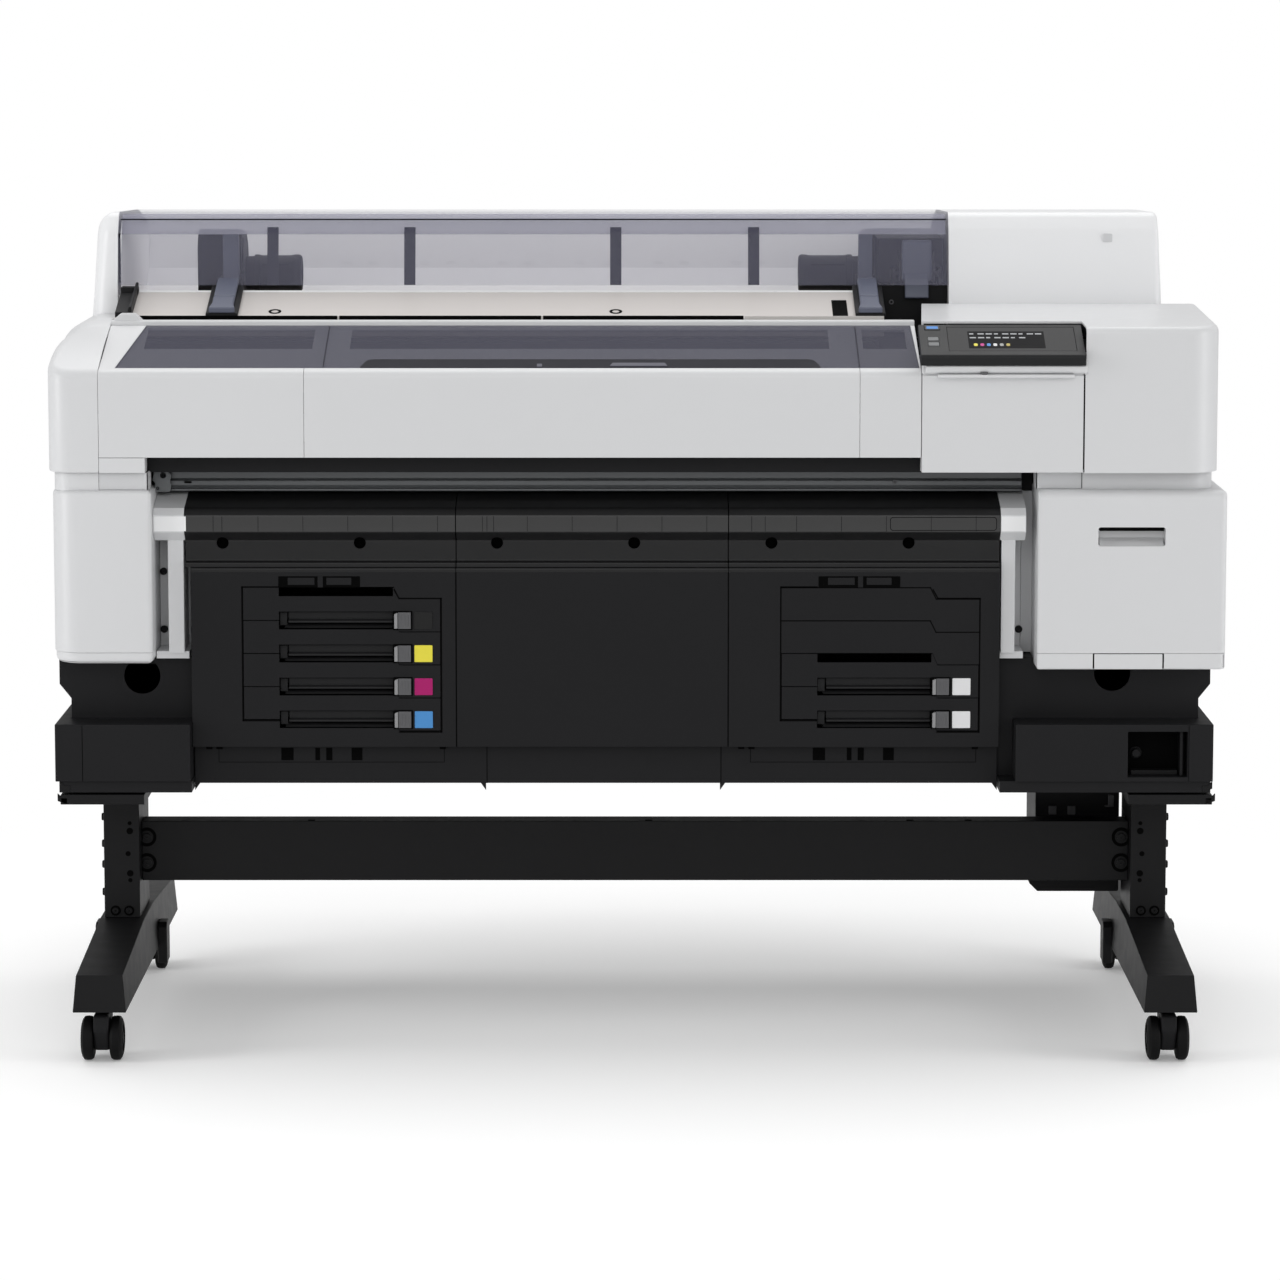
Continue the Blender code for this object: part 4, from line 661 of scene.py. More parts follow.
def rear_box():
    """White box beside the roll cover, rounded and drawn in towards its outer top."""
    x = span("right_rear_cover", 0)
    bottom = span("right_rear_cover", 2)[0]

    def lean(z):
        return 0.010 * (z - bottom) / (ROLL_TOP - bottom)
    outline = [(ROLL_Y, bottom)] + roll_outline()[:-1] + [(BACK, ROLL_BOTTOM - 0.0475),
                                                          (BODY_BACK + 0.0036, FACE_TOP - 0.010),
                                                         (BODY_BACK + 0.0036, bottom)]
    path = [Vector(p) for p in outline]

    def rings_for(extra, x0, x1, round_r):
        rings = [[(x0, p.x, p.y) for p in shrink(path, extra)]]
        for k in range(7):
            t = math.pi / 2 * k / 6
            amount = extra + round_r * (1 - math.cos(t))
            rings.append([(x1 - round_r + round_r * math.sin(t) - lean(p.y) * k / 6, p.x,
                           p.y) for p in shrink(path, amount)])
        return rings

    def shrink(points, amount):
        out = []
        for i, here in enumerate(points):
            a = (here - points[i - 1]).normalized()
            b = (points[(i + 1) % len(points)] - here).normalized()
            n = Vector((-a.y - b.y, a.x + b.x)).normalized()
            move = -n * amount / max(0.5, n.dot(Vector((-a.y, a.x))))
            if here.y < bottom + 0.001:
                move.y = 0
            out.append(here + move)
        return out
    bm = bmesh.new()
    stack(bm, rings_for(0.0, x[0], x[1], 0.016))
    # the box uses the brighter white: painted light
    finish_piece(bm, "rear_box_shell", WHITE_PAINTED_LIGHT, "frame", ["right_rear_cover"],
                 smooth=35)
    mark = round_corners([(x[1] - 0.0875, ROLL_TOP - 0.042), (x[1] - 0.0745, ROLL_TOP - 0.042),
                          (x[1] - 0.0745, ROLL_TOP - 0.030), (x[1] - 0.0875, ROLL_TOP - 0.030)], 0.0015, 3)
    at = ROLL_Y + 0.0105
    bm = prism("Y", mark, at - 0.0004, at + 0.006)
    finish_piece(bm, "rear_box_inset", WHITE_MATT, "frame", bevel=0.0003)


def face_skin():
    """Front face and slope of the white skin, in (Y, Z)."""
    points = [(FACE, COVER_BOTTOM), (FACE, BROW_Z), (SLOPE_END, slope_top(SLOPE_END))]
    return round_corners(points, [0, 0.012, 0], 8, closed=False)


WINDOW_LOW, WINDOW_HIGH = FACE + 0.0150, SLOPE_END + 0.0010


def plan_slab(plan, top, thickness):
    """Slab that follows the slope, from a plan outline: top is its depth below the skin."""
    bm = bmesh.new()
    stack(bm, [[(u, v, slope_top(v) - d) for u, v in plan] for d in (top + thickness, top)])
    return bm


def skin_with_window(name, x, window, body, node, replace=True):
    """White skin, cut by the window's plan outline."""
    obj = loose(prism("X", sheet(face_skin(), -0.003), *x))
    obj = boolean(obj, loose(prism("Z", window, FACE_TOP - 0.01, FACE_TOP + 0.1)))
    obj.name = name
    settle(obj, WHITE, body, [node] if replace else (), bevel=0.0005, smooth=30)
    return obj


def front():
    """Front cover and surround: white skins, tinted panes, grey liners and the ledge behind them."""
    cover_x = span("front_cover", 0)
    surround = span("front_surround", 0)
    left = (surround[0], cover_x[0] - 0.0005)
    right = (cover_x[1] + 0.0005, surround[1])
    seam = cover_x[0] + 0.0255       # the glazing joint sits to the right of the joint in the face
    low, high = WINDOW_LOW, WINDOW_HIGH
    plans = {"left": ([(left[0] + 0.0215, low), (left[1] + 0.01, low), (left[1] + 0.01, high),
                       (left[0] + 0.0495, high)], left),
             "middle": ([(cover_x[0] - 0.01, low), (cover_x[1] + 0.01, low), (cover_x[1] + 0.01, high),
                         (cover_x[0] - 0.01, high)], cover_x),
             "right": ([(right[0] - 0.01, low), (right[1] - 0.0018, low), (right[1] - 0.0060, high),
                        (right[0] - 0.01, high)], right)}
    skin_with_window("front_cover_skin", cover_x, plans["middle"][0], "front_cover", "front_cover")
    skin_with_window("surround_skin_left", left, plans["left"][0], "frame", "front_surround")
    skin_with_window("surround_skin_right", right, plans["right"][0], "frame", "front_surround", False)
    g = 0.0003
    inner_low, inner_high = low + g, high - g
    panes = {"left": ([(left[0] + 0.0215 + g, inner_low), (seam - 0.0008, inner_low),
                       (seam - 0.0008, inner_high), (left[0] + 0.0495 + g, inner_high)], "frame", ()),
             "middle": ([(seam, inner_low), (cover_x[1], inner_low), (cover_x[1], inner_high),
                         (seam, inner_high)], "front_cover", ["front_cover_window"]),
             "right": ([(right[0] + 0.0003, inner_low), (right[1] - 0.0018 - g, inner_low),
                        (right[1] - 0.0060 - g, inner_high), (right[0] + 0.0003, inner_high)], "frame", ())}
    field = (FACE + 0.0905, FACE + 0.1600)
    holes = {"left": (-0.6790, -0.4475), "middle": (-0.3958, 0.2640),
             "right": (right[0] + 0.0080, right[1] - 0.0150)}
    for key, (plan, body, taken) in panes.items():
        finish_piece(plan_slab(plan, 0.0002, 0.0024), key + "_pane", TINT_FRONT, body,
                     taken, smooth=0)
        # liner under the pane: a grey sheet with one clear field
        obj = loose(plan_slab(plan, 0.0030, 0.0010))
        obj = boolean(obj, loose(block(holes[key], field, (FACE_TOP - 0.05, FACE_TOP + 0.1))))
        obj.name = "liner_" + key
        settle(obj, LINER, body, smooth=0)
    bm = bmesh.new()
    for at in (seam - 0.0004, cover_x[1] + 0.0002):
        plan = [(at - 0.0007, inner_low), (at + 0.0005, inner_low), (at + 0.0005, inner_high),
                (at - 0.0007, inner_high)]
        stack(bm, [[(u, v, slope_top(v) - d) for u, v in plan] for d in (0.0050, 0.0010)])
    finish_piece(bm, "pane_joints", DEEP_BLUE, "frame")
    # ledge behind the windows
    ledge = [(SLOPE_END + 0.0035, LEDGE_TOP - 0.016), (SLOPE_END + 0.0035, LEDGE_TOP),
             (SLOPE_END + 0.025, LEDGE_TOP),
             (SLOPE_END + 0.025, LEDGE_TOP - 0.016)]
    finish_piece(prism("X", round_corners(ledge, [0, 0.003, 0.002, 0], 3), *surround), "surround_ledge",
                 WHITE, "frame",
                 bevel=0.0006)
    for side, bridge in (("left", left), ("right", right)):
        strap = block(bridge, (SLOPE_END - 0.004, SLOPE_END + 0.006),
                      (LEDGE_TOP - 0.0155, LEDGE_TOP - 0.0105))
        finish_piece(strap, "surround_strap_" + side, WHITE, "frame", bevel=0.0005)
    trim = block((surround[0], LEFT + 0.134), (FACE, FACE + 0.003), (UPPER_Z, COVER_BOTTOM - 0.0006))
    finish_piece(trim, "lower_trim", WHITE, "frame", bevel=0.0006)
    end = prism("X", round_corners([(FACE + 0.003, UPPER_Z), (FACE + 0.030, UPPER_Z),
                                    (FACE + 0.030, COVER_BOTTOM + 0.02),
                                    (FACE + 0.003, COVER_BOTTOM + 0.02)], 0), LEFT + 0.131, LEFT + 0.134)
    finish_piece(end, "lower_trim_return", WHITE_MATT, "frame", bevel=0.0006)


def all_covers():
    """All the white covers."""
    left_upper()
    roll_cap()
    left_lower()
    right_lower()
    right_upper()
    rear_box()
    front()


def roll_window():
    """Tinted cover over the roll: a thin curved shell with closed ends."""
    x = span("roll_cover", 0)
    outline = roll_outline()
    bm = prism("X", sheet(outline, -0.003), *x)
    obj = loose(bm)
    ends = []
    closed = outline + [(BACK - 0.003, ROLL_BOTTOM + 0.0078)]
    for low in (x[0], x[1] - 0.003):
        ends.append(loose(prism("X", closed, low, low + 0.003)))
    for end in ends:
        obj = boolean(obj, end, "UNION")
    obj.name = "roll_cover_shell"
    settle(obj, TINT_ROLL, "roll_cover", ["roll_cover"], smooth=35)


# ---- small parts --------------------------------------------------------------------------
def piece(bm, name, mat, body="frame", bevel=0.0008, smooth=0, replaces=(),
          segments=2):
    return finish_piece(bm, name, mat, body, replaces, bevel, smooth, segments)


def line(bm, a, b, width, y, proud=0.0002):
    """Narrow strip on a plane of constant Y, from a to b, both (X, Z)."""
    a, b = Vector(a), Vector(b)
    side = (b - a).normalized()
    side = Vector((-side.y, side.x)) * width / 2
    along = (b - a).normalized() * width / 2
    corners = [a - side - along, b - side + along, b + side + along, a + side - along]
    prism("Y", [tuple(p) for p in corners], y - proud, y + 0.0002, bm)


def ring(bm, axis, centre, outer, inner, low, high, count=28):
    """Flat ring. centre holds the other two coordinates."""
    loops = []
    for radius, w in ((outer, low), (outer, high), (inner, high), (inner, low)):
        loops.append([bm.verts.new(AXES[axis](u, v, w)) for u, v in circle(centre, radius, count)])
    for a, b in zip(loops, loops[1:] + loops[:1]):
        for i in range(count):
            j = (i + 1) % count
            bm.faces.new((a[i], a[j], b[j], b[i]))


def turned(bm, axis, centre, profile, count=32):
    """Round body from (along, radius) pairs."""
    return stack(bm, [[AXES[axis](u, v, w) for u, v in circle(centre, radius, count)] for w,
                      radius in profile])


CABINET = span("center_front_panel", 1)[0]
CABINET_TOP = span("center_front_panel", 2)[1]
PITCH = span("ink_drawer_black", 2)[0] - span("ink_drawer_yellow", 2)[0]
LEFT_SIDE, RIGHT_SIDE = CAD_LOW.x, CAD_HIGH.x


def exit_guide():
    """Exit guide in three lengths, with its holes, grooves and hatch line; its nose face has a painted sheen
    and deep-black backs behind the holes are painted shade.
    """
    top = CABINET_TOP
    nose = CABINET - 0.010
    points = round_corners([(CABINET + 0.060, top + 0.0980), (nose + 0.008, top + 0.0825),
                            (nose, top + 0.0730),
                            (nose, top + 0.0500), (CABINET + 0.008, top + 0.0370),
                            (CABINET + 0.008, top + 0.0085),
                            (CABINET + 0.001, top + 0.0070), (CABINET + 0.001, top + 0.0010)],
                           [0, 0.010, 0.004, 0.003, 0.004, 0.002, 0.002, 0], 4, closed=False)
    x = span("exit_guide", 0)
    seams = [x[0], span("center_front_panel", 0)[0], span("center_front_panel", 0)[1], x[1]]
    holes = [x[0] + 0.0506 + 0.188 * i for i in range(6)]
    for i, name in enumerate(("left", "middle", "right")):
        a, b = seams[i] + (0.0007 if i else 0), seams[i + 1] - (0.0007 if i < 2 else 0)
        obj = loose(prism("X", sheet(points, 0.003), a, b))
        for at in holes:
            if a < at < b:
                bm = bmesh.new()
                turned(bm, "Y", (at, top + 0.0335), [(CABINET - 0.02, 0.0083), (CABINET + 0.03, 0.0083)])
                obj = boolean(obj, loose(bm))
        obj.name = "exit_guide_" + name
        settle(obj, BLACK_GLOSS, "frame", ["exit_guide"] if i == 0 else (), smooth=30)
        # front-facing faces of the nose get the lighter black: painted sheen, as if lit from the front
        obj.data.materials.append(GUIDE_PAINTED_SHEEN)
        for face in obj.data.polygons:
            if face.normal.y < -0.95 and face.center.z > top + 0.048:
                face.material_index = 1
    # deep-black discs behind the holes: painted shade
    bm = bmesh.new()
    for at in holes:
        turned(bm, "Y", (at, top + 0.0335), [(CABINET + 0.022, 0.0095), (CABINET + 0.026, 0.0095)])
    piece(bm, "exit_guide_hole_painted_shade", DEEP, bevel=0)
    bm = bmesh.new()
    start = x[0] + 0.0395
    for i in range(18):
        at = start + 0.0613 * i
        if at < x[1] - 0.01:
            line(bm, (at, top + 0.0515), (at, top + 0.0718), 0.0007, nose)
    for at in (x[0] + 0.0515, seams[1] + 0.043, seams[1] + 0.052, seams[2] + 0.050):
        line(bm, (at, top + 0.0515), (at, top + 0.0718), 0.0007, nose)
    piece(bm, "exit_guide_grooves", BLACK, bevel=0)
    frame_box = round_corners([(0.3455, top + 0.0525), (0.4905, top + 0.0525), (0.4905, top + 0.0705),
                               (0.3455, top + 0.0705)], 0.004, 4)
    bm = bmesh.new()
    loop = frame_box + frame_box[:1]
    for a, b in zip(loop, loop[1:]):
        line(bm, a, b, 0.0008, nose)
    piece(bm, "exit_guide_hatch_line", DEEP, bevel=0)
    # painted highlight: a brighter white band on the white end caps
    for side in ("left", "right"):
        cap = span(side + "_guide_cap", 0)
        bm = prism("X", round_corners([(nose + 0.0005, top + 0.0510), (nose + 0.0005, top + 0.0722),
                                       (nose - 0.0001, top + 0.0716),
                                       (nose - 0.0001, top + 0.0516)], 0), cap[0] + 0.0012, cap[1] - 0.0008)
        piece(bm, side + "_cap_painted_highlight", WHITE_PAINTED_HIGHLIGHT, bevel=0)


def cabinet():
    """Beads, seams, outlines and finger notches on the front of the ink cabinet."""
    x = span("left_ink_bay", 0)[0], span("right_ink_bay", 0)[1]
    seams = [x[0], span("center_front_panel", 0)[0] - 0.0003, span("center_front_panel", 0)[1] + 0.0003,
             x[1]]
    top = CABINET_TOP
    # rounded bead along the top of each front panel
    for i, name in enumerate(("left", "middle", "right")):
        profile = round_corners([(CABINET + 0.006, top + 0.0004), (CABINET - 0.0003, top + 0.0004),
                                 (CABINET - 0.0003, top - 0.0062), (CABINET + 0.0005, top - 0.0066),
                                 (CABINET + 0.006, top - 0.0066)], [0, 0.0055, 0, 0, 0], 6)
        bm = prism("X", profile, seams[i] + 0.0005, seams[i + 1] - 0.0005)
        piece(bm, "cabinet_bead_" + name, BLACK_GLOSS, bevel=0, smooth=30)
    bm = bmesh.new()
    for at in seams[1:3]:
        line(bm, (at, top - 0.001), (at, span("center_front_panel", 2)[0] + 0.001), 0.0014, CABINET)
    piece(bm, "cabinet_seams", DEEP, bevel=0)
    # outlines of the two groups of drawers
    bm = bmesh.new()
    for origin, first, rows in ((span("ink_drawer_black", 0)[0], span("ink_drawer_black", 2)[1], 4),
                                (span("ink_drawer_white_upper", 0)[0], span("ink_drawer_black", 2)[1], 4)):
        w = 0.0019
        a, b, c, d = origin - 0.001, origin + 0.0484, origin + 0.2072, origin + 0.272
        low = first - rows * PITCH
        drop = 0.0158
        at = CABINET
        line(bm, (a, first + 0.001), (a, low - 0.001), w, at)
        line(bm, (a, first + 0.001), (b, first + 0.001), w, at)
        line(bm, (a, low - 0.001), (b, low - 0.001), w, at)
        line(bm, (c + 0.008, first - drop + 0.001), (d, first - drop + 0.001), w, at)
        line(bm, (d, first - drop + 0.001), (d, low - drop - 0.001), w, at)
        line(bm, (d, low - drop - 0.001), (c + 0.007, low - drop - 0.001), w, at)
        line(bm, (c + 0.0005, first - 0.003), (c + 0.007, first - drop + 0.001), w, at)
        if origin > 0:
            for row in (0, 1):
                z = first - row * PITCH
                line(bm, (a, z), (a + 0.205, z), w * 0.8, at)
                line(bm, (a + 0.205, z), (a + 0.213, z - drop), w * 0.8, at)
                line(bm, (a + 0.213, z - drop), (d, z - drop), w * 0.8, at)
    piece(bm, "drawer_group_outlines", DEEP, bevel=0)
    # finger notches over the top row, with ribs; each notch is a flat deep-black plate, painted shade for its
    # hollow
    for side, origin in (("left", span("ink_drawer_black", 0)[0]),
                         ("right", span("ink_drawer_white_upper", 0)[0] + 0.0015)):
        low, high = span("ink_drawer_black", 2)[1] + 0.0005, top - 0.0118
        notch = round_corners([(origin + 0.0490, low), (origin + 0.1610, low), (origin + 0.1610, high),
                               (origin + 0.0490, high)],
                              0.001, 3)
        bm = prism("Y", notch, CABINET - 0.0002, CABINET + 0.0004)
        piece(bm, side + "_notch_painted_shade", DEEP, bevel=0)
        bm = bmesh.new()
        block((origin + 0.1030, origin + 0.1100), (CABINET - 0.0007, CABINET + 0.0004), (low, high), bm)
        block((origin + 0.0620, origin + 0.0985), (CABINET - 0.0005, CABINET + 0.0004),
              (low + 0.0035, high - 0.002), bm)
        block((origin + 0.1150, origin + 0.1490), (CABINET - 0.0005, CABINET + 0.0004),
              (low + 0.0035, high - 0.002), bm)
        piece(bm, side + "_notch_ribs", BLACK, bevel=0.0002)


TAG_COLOURS = {"black": (0.001, 0.001, 0.001), "yellow": (0.78, 0.69, 0.055), "magenta": (0.38, 0.0, 0.125),
               "cyan": (0.062, 0.255, 0.58), "white_upper": (0.74, 0.74, 0.75),
               "white_lower": (0.74, 0.74, 0.75)}


def drawer_details():
    """Slot ledge, lock slider and colour tag of each ink drawer."""
    for ink, colour in TAG_COLOURS.items():
        node_name = "ink_drawer_" + ink
        body = "drawer_" + ink
        x = span(node_name, 0)[0]
        boundary = span(node_name, 2)[0] + 0.0153     # lower edge of the stepped front, left of its step
        # inner ledge and lip of the finger slot
        ledge = [(CABINET + 0.0045, boundary - 0.0036), (CABINET + 0.0040, boundary - 0.0012),
                 (CABINET + 0.0110, boundary + 0.0008),
                 (CABINET + 0.0110, boundary + 0.0105), (CABINET + 0.0178, boundary + 0.0112),
                 (CABINET + 0.0178, boundary - 0.0036)]
        bm = prism("X", ledge, x + 0.062, x + 0.2052)
        block((x + 0.0500, x + 0.0600), (CABINET + 0.0100, CABINET + 0.0178),
              (boundary - 0.0080, boundary + 0.0100), bm)
        prism("X", [(CABINET + 0.0030, boundary - 0.0105), (CABINET + 0.0170, boundary - 0.0060),
                    (CABINET + 0.0170, boundary - 0.0108)], x + 0.057, x + 0.205, bm)
        piece(bm, ink + "_slot_ledge", BLACK_LIGHT, body, bevel=0.0005)
        # sliding lock: dark surround, ribbed grey slider with a bright edge
        z = (boundary - 0.0121, boundary + 0.0120)
        lock_x = (x + 0.2068, x + 0.2310)
        bm = prism("Y", round_corners([(lock_x[0] - 0.001, z[0] - 0.0012),
                                       (lock_x[1] + 0.0016, z[0] - 0.0012),
                                       (lock_x[1] + 0.0016, z[1] + 0.0012),
                                       (lock_x[0] - 0.001, z[1] + 0.0012)], 0.0012, 3),
                   CABINET - 0.0006, CABINET + 0.0005)
        piece(bm, ink + "_lock_surround", DEEP, body, bevel=0.0002)
        bm = bmesh.new()
        block((lock_x[0] + 0.0060, lock_x[1] - 0.0008), (CABINET - 0.0030, CABINET + 0.0002),
              (z[0] + 0.0008, z[1] - 0.0006), bm)
        for k in range(3):
            at = lock_x[0] + 0.0100 + 0.0045 * k
            block((at, at + 0.0012), (CABINET - 0.0034, CABINET - 0.0029), (z[0] + 0.004, z[1] - 0.004), bm)
        piece(bm, ink + "_lock_slider", LOCK, body, bevel=0.0008)
        bm = prism("Y", [(lock_x[0] + 0.0008, z[0] + 0.0012), (lock_x[0] + 0.0054, z[0] + 0.0012),
                         (lock_x[0] + 0.0054, z[1] - 0.0010), (lock_x[0] + 0.0008, z[1] - 0.0030)],
                   CABINET - 0.0040, CABINET + 0.0002)
        piece(bm, ink + "_lock_edge", LOCK_EDGE, body, bevel=0.0008)
        # colour tag in a shallow frame
        tag_x = (x + 0.2350, x + 0.2598)
        tag = surface("tag_" + ink, colour, 0.38, specular=0.35, tint=0.02, grain=0.05)
        shape = round_corners([(tag_x[0], z[0] + 0.0004), (tag_x[1], z[0] + 0.0004),
                               (tag_x[1], z[1] - 0.0004),
                               (tag_x[0], z[1] - 0.0004)], 0.0012, 3)
        piece(prism("Y", shape, CABINET - 0.0009, CABINET + 0.0005), ink + "_tag", tag, body,
              bevel=0.0003)


def panel_frame():
    """Box of the control panel, the front edge of its sloped face and the slope's angle."""
    low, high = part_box("control_panel")
    rise = 0.0375
    return low, high, Vector((0, low.y, high.z - rise)), math.atan2(rise, high.y - low.y)


def panel_piece(shapes, name, mat, body="control_panel", bevel=0.0003, replaces=()):
    """Thin shapes on the sloped face: (x, reach up the slope, height over it, corner radius) each."""
    low, high, start, slope = panel_frame()
    bm = bmesh.new()
    for x, reach, up, radius in shapes:
        outline = [(x[0], reach[0]), (x[1], reach[0]), (x[1], reach[1]), (x[0], reach[1])]
        if radius:
            outline = round_corners(outline, radius, 4)
        prism("Z", outline, up[0], up[1], bm)
    bm.transform(Matrix.Translation(start) @ Matrix.Rotation(slope, 4, "X"))
    return piece(bm, name, mat, body, bevel, replaces=replaces)


def control_panel():
    """Panel body with its screen, keys and power key, and the lip and catch below its shelf."""
    low, high, start, slope = panel_frame()
    profile = [(low.y, low.z), (low.y, start.z), (high.y, high.z), (high.y, high.z - 0.012),
               (low.y + 0.006, low.z)]
    profile = round_corners(profile, [0.004, 0.005, 0.003, 0.002, 0.004], 5)
    body = loose(prism("X", profile, low.x, high.x))
    cap_x, cap_along = (low.x + 0.0085, low.x + 0.0290), (0.0735, 0.0855)
    bm = bmesh.new()
    block((cap_x[0] - 0.0004, cap_x[1] + 0.0004), (cap_along[0] - 0.0004, cap_along[1] + 0.0004),
          (-0.005, 0.01), bm)
    screen_x = (low.x + 0.0385, high.x - 0.0110)
    block(screen_x, (0.0135, 0.0825), (-0.0012, 0.01), bm)
    for k in range(2):
        block((low.x + 0.0110, low.x + 0.0262), (0.0270 + 0.0150 * k, 0.0375 + 0.0150 * k), (-0.0012, 0.01),
              bm)
    bm.transform(Matrix.Translation(start) @ Matrix.Rotation(slope, 4, "X"))
    body = boolean(body, loose(bm))
    body.name = "control_panel_body"
    settle(body, PANEL, "control_panel", ["control_panel"], bevel=0.0028, smooth=0,
           segments=4)
    body.modifiers["edge"].angle_limit = math.radians(50)
    body.modifiers["edge"].width = 0.0022
    panel_piece([((screen_x[0] + 0.0003, screen_x[1] - 0.0003), (0.0138, 0.0822), (-0.0011, -0.0003),
                  0.001)],
                "panel_screen_glass", GLASS)
    panel_piece([((screen_x[0] + 0.0275, screen_x[1] - 0.0420), (0.0215, 0.0700), (-0.0004, -0.0002),
                  0.0006)],
                "panel_display", DISPLAY, bevel=0)
    shine = []
    for row, reach, cells in ((0, 0.0610, 9), (1, 0.0500, 7)):
        for k in range(cells):
            width = 0.0085 if (k + row) % 3 else 0.0055
            at = screen_x[0] + 0.0300 + 0.0112 * k
            shine.append(((at, at + width), (reach, reach + 0.0032), (-0.00025, -0.00005), 0))
    panel_piece(shine, "panel_display_marks", MARK, bevel=0)
    for k, (name, colour) in enumerate((("yellow", (0.75, 0.66, 0.05)), ("magenta", (0.55, 0.03, 0.25)),
                                        ("blue", (0.05, 0.25, 0.62)), ("white", (0.7, 0.7, 0.7)),
                                        ("grey", (0.35, 0.36, 0.35)),
                                        ("amber", (0.45, 0.36, 0.08)))):
        at = screen_x[0] + 0.0345 + 0.0088 * k
        dot = surface("dot_" + name, colour, 0.4, specular=0.3, tint=0.01, grain=0.0)
        panel_piece([((at, at + 0.0052), (0.0275, 0.0350), (-0.00025, 0.0), 0.0022)], "panel_dot_" + name,
                    dot, bevel=0)
    panel_piece([((low.x + 0.0114, low.x + 0.0258), (0.0274 + 0.0150 * k, 0.0371 + 0.0150 * k),
                  (-0.0010, 0.0006), 0.001)
                 for k in range(2)], "panel_keys", KEY)
    panel_piece([(cap_x, cap_along, (-0.0035, 0.0008), 0.002)], "power_key", KEY_DARK, "power_button",
                replaces=["power_button"])
    panel_piece([((cap_x[0] + 0.0025, cap_x[1] - 0.0025), (0.0755, 0.0825), (0.0007, 0.0010), 0.001)],
                "power_mark", BLUE_MARK,
                "power_button", bevel=0)
    # lip and catch below the panel's shelf
    shelf = span("right_upper_cover", 1)[0]
    z = low.z
    lip = round_corners([(shelf - 0.0015, z - 0.0170), (shelf + 0.0120, z - 0.0170),
                         (shelf + 0.0120, z - 0.0110),
                         (shelf - 0.0015, z - 0.0125)], [0.002, 0, 0, 0.001], 4)
    piece(prism("X", lip, low.x + 0.023, high.x - 0.015), "panel_shelf_lip", WHITE,
          bevel=0.0008)
    catch = [(0.0858 + low.x + 0.0052 * math.cos(t), z - 0.0088 - 0.0048 * math.sin(t))
             for t in [math.pi * k / 10 for k in range(11)]]
    piece(prism("Y", catch, shelf - 0.0012, shelf + 0.004), "panel_catch", LOCK, bevel=0.0004)


def window_details():
    """Recessed pull, its bar and its stop along the front of the window."""
    cover_x = span("front_cover", 0)
    # recessed pull along the front of the window, drawn as a thin dark slab: painted shade for the recess
    low, high = FACE + 0.0165, FACE + 0.0450
    x = (cover_x[0] + 0.0751, cover_x[1] - 0.0520)
    plan = round_corners([(x[0], low), (x[1], low), (x[1] - 0.010, high), (x[0] + 0.010, high)],
                         [0.002, 0.002, 0.012, 0.012], 5)
    bm = bmesh.new()
    stack(bm, [[(u, v, slope_top(v) - d) for u, v in plan] for d in (0.0012, -0.0004)])
    piece(bm, "front_pull_painted_shade", DEEP_BLUE, "front_cover", bevel=0)
    bm = bmesh.new()
    plan = round_corners([(x[0] + 0.340, low + 0.003), (x[0] + 0.419, low + 0.003),
                          (x[0] + 0.415, low + 0.0140),
                          (x[0] + 0.344, low + 0.0140)], 0.001, 3)
    stack(bm, [[(u, v, slope_top(v) + d) for u, v in plan] for d in (0.0003, 0.0014)])
    piece(bm, "front_pull_bar", BAR_BLUE, "front_cover", bevel=0.0003)
    bm = bmesh.new()
    plan = round_corners([(x[0] + 0.2410, low + 0.001), (x[0] + 0.2480, low + 0.001),
                          (x[0] + 0.2480, low + 0.011),
                          (x[0] + 0.2410, low + 0.011)], 0.001, 3)
    stack(bm, [[(u, v, slope_top(v) + d) for u, v in plan] for d in (0.0003, 0.0012)])
    piece(bm, "front_pull_stop", BAR_BLUE, "front_cover", bevel=0.0003)


def slope_surface(y):
    """Height of the media slope at Y."""
    low_y, high_y = span("media_feed_board", 1)[0] + 0.002, ROLL_Y
    low_z, high_z = LEDGE_TOP, ROLL_BOTTOM - 0.0075
    return low_z + (high_z - low_z) * (y - low_y) / (high_y - low_y)


def slope_slab(bm, x, y, lift, thick, steps=1):
    """Slab that lies on the media slope."""
    points = [(y[0] + (y[1] - y[0]) * k / steps) for k in range(steps + 1)]
    outline = [(v, slope_surface(v) + lift) for v in points] + [(v,
                                                                 slope_surface(v) + lift + thick) for v in reversed(points)]
    prism("X", outline, x[0], x[1], bm)


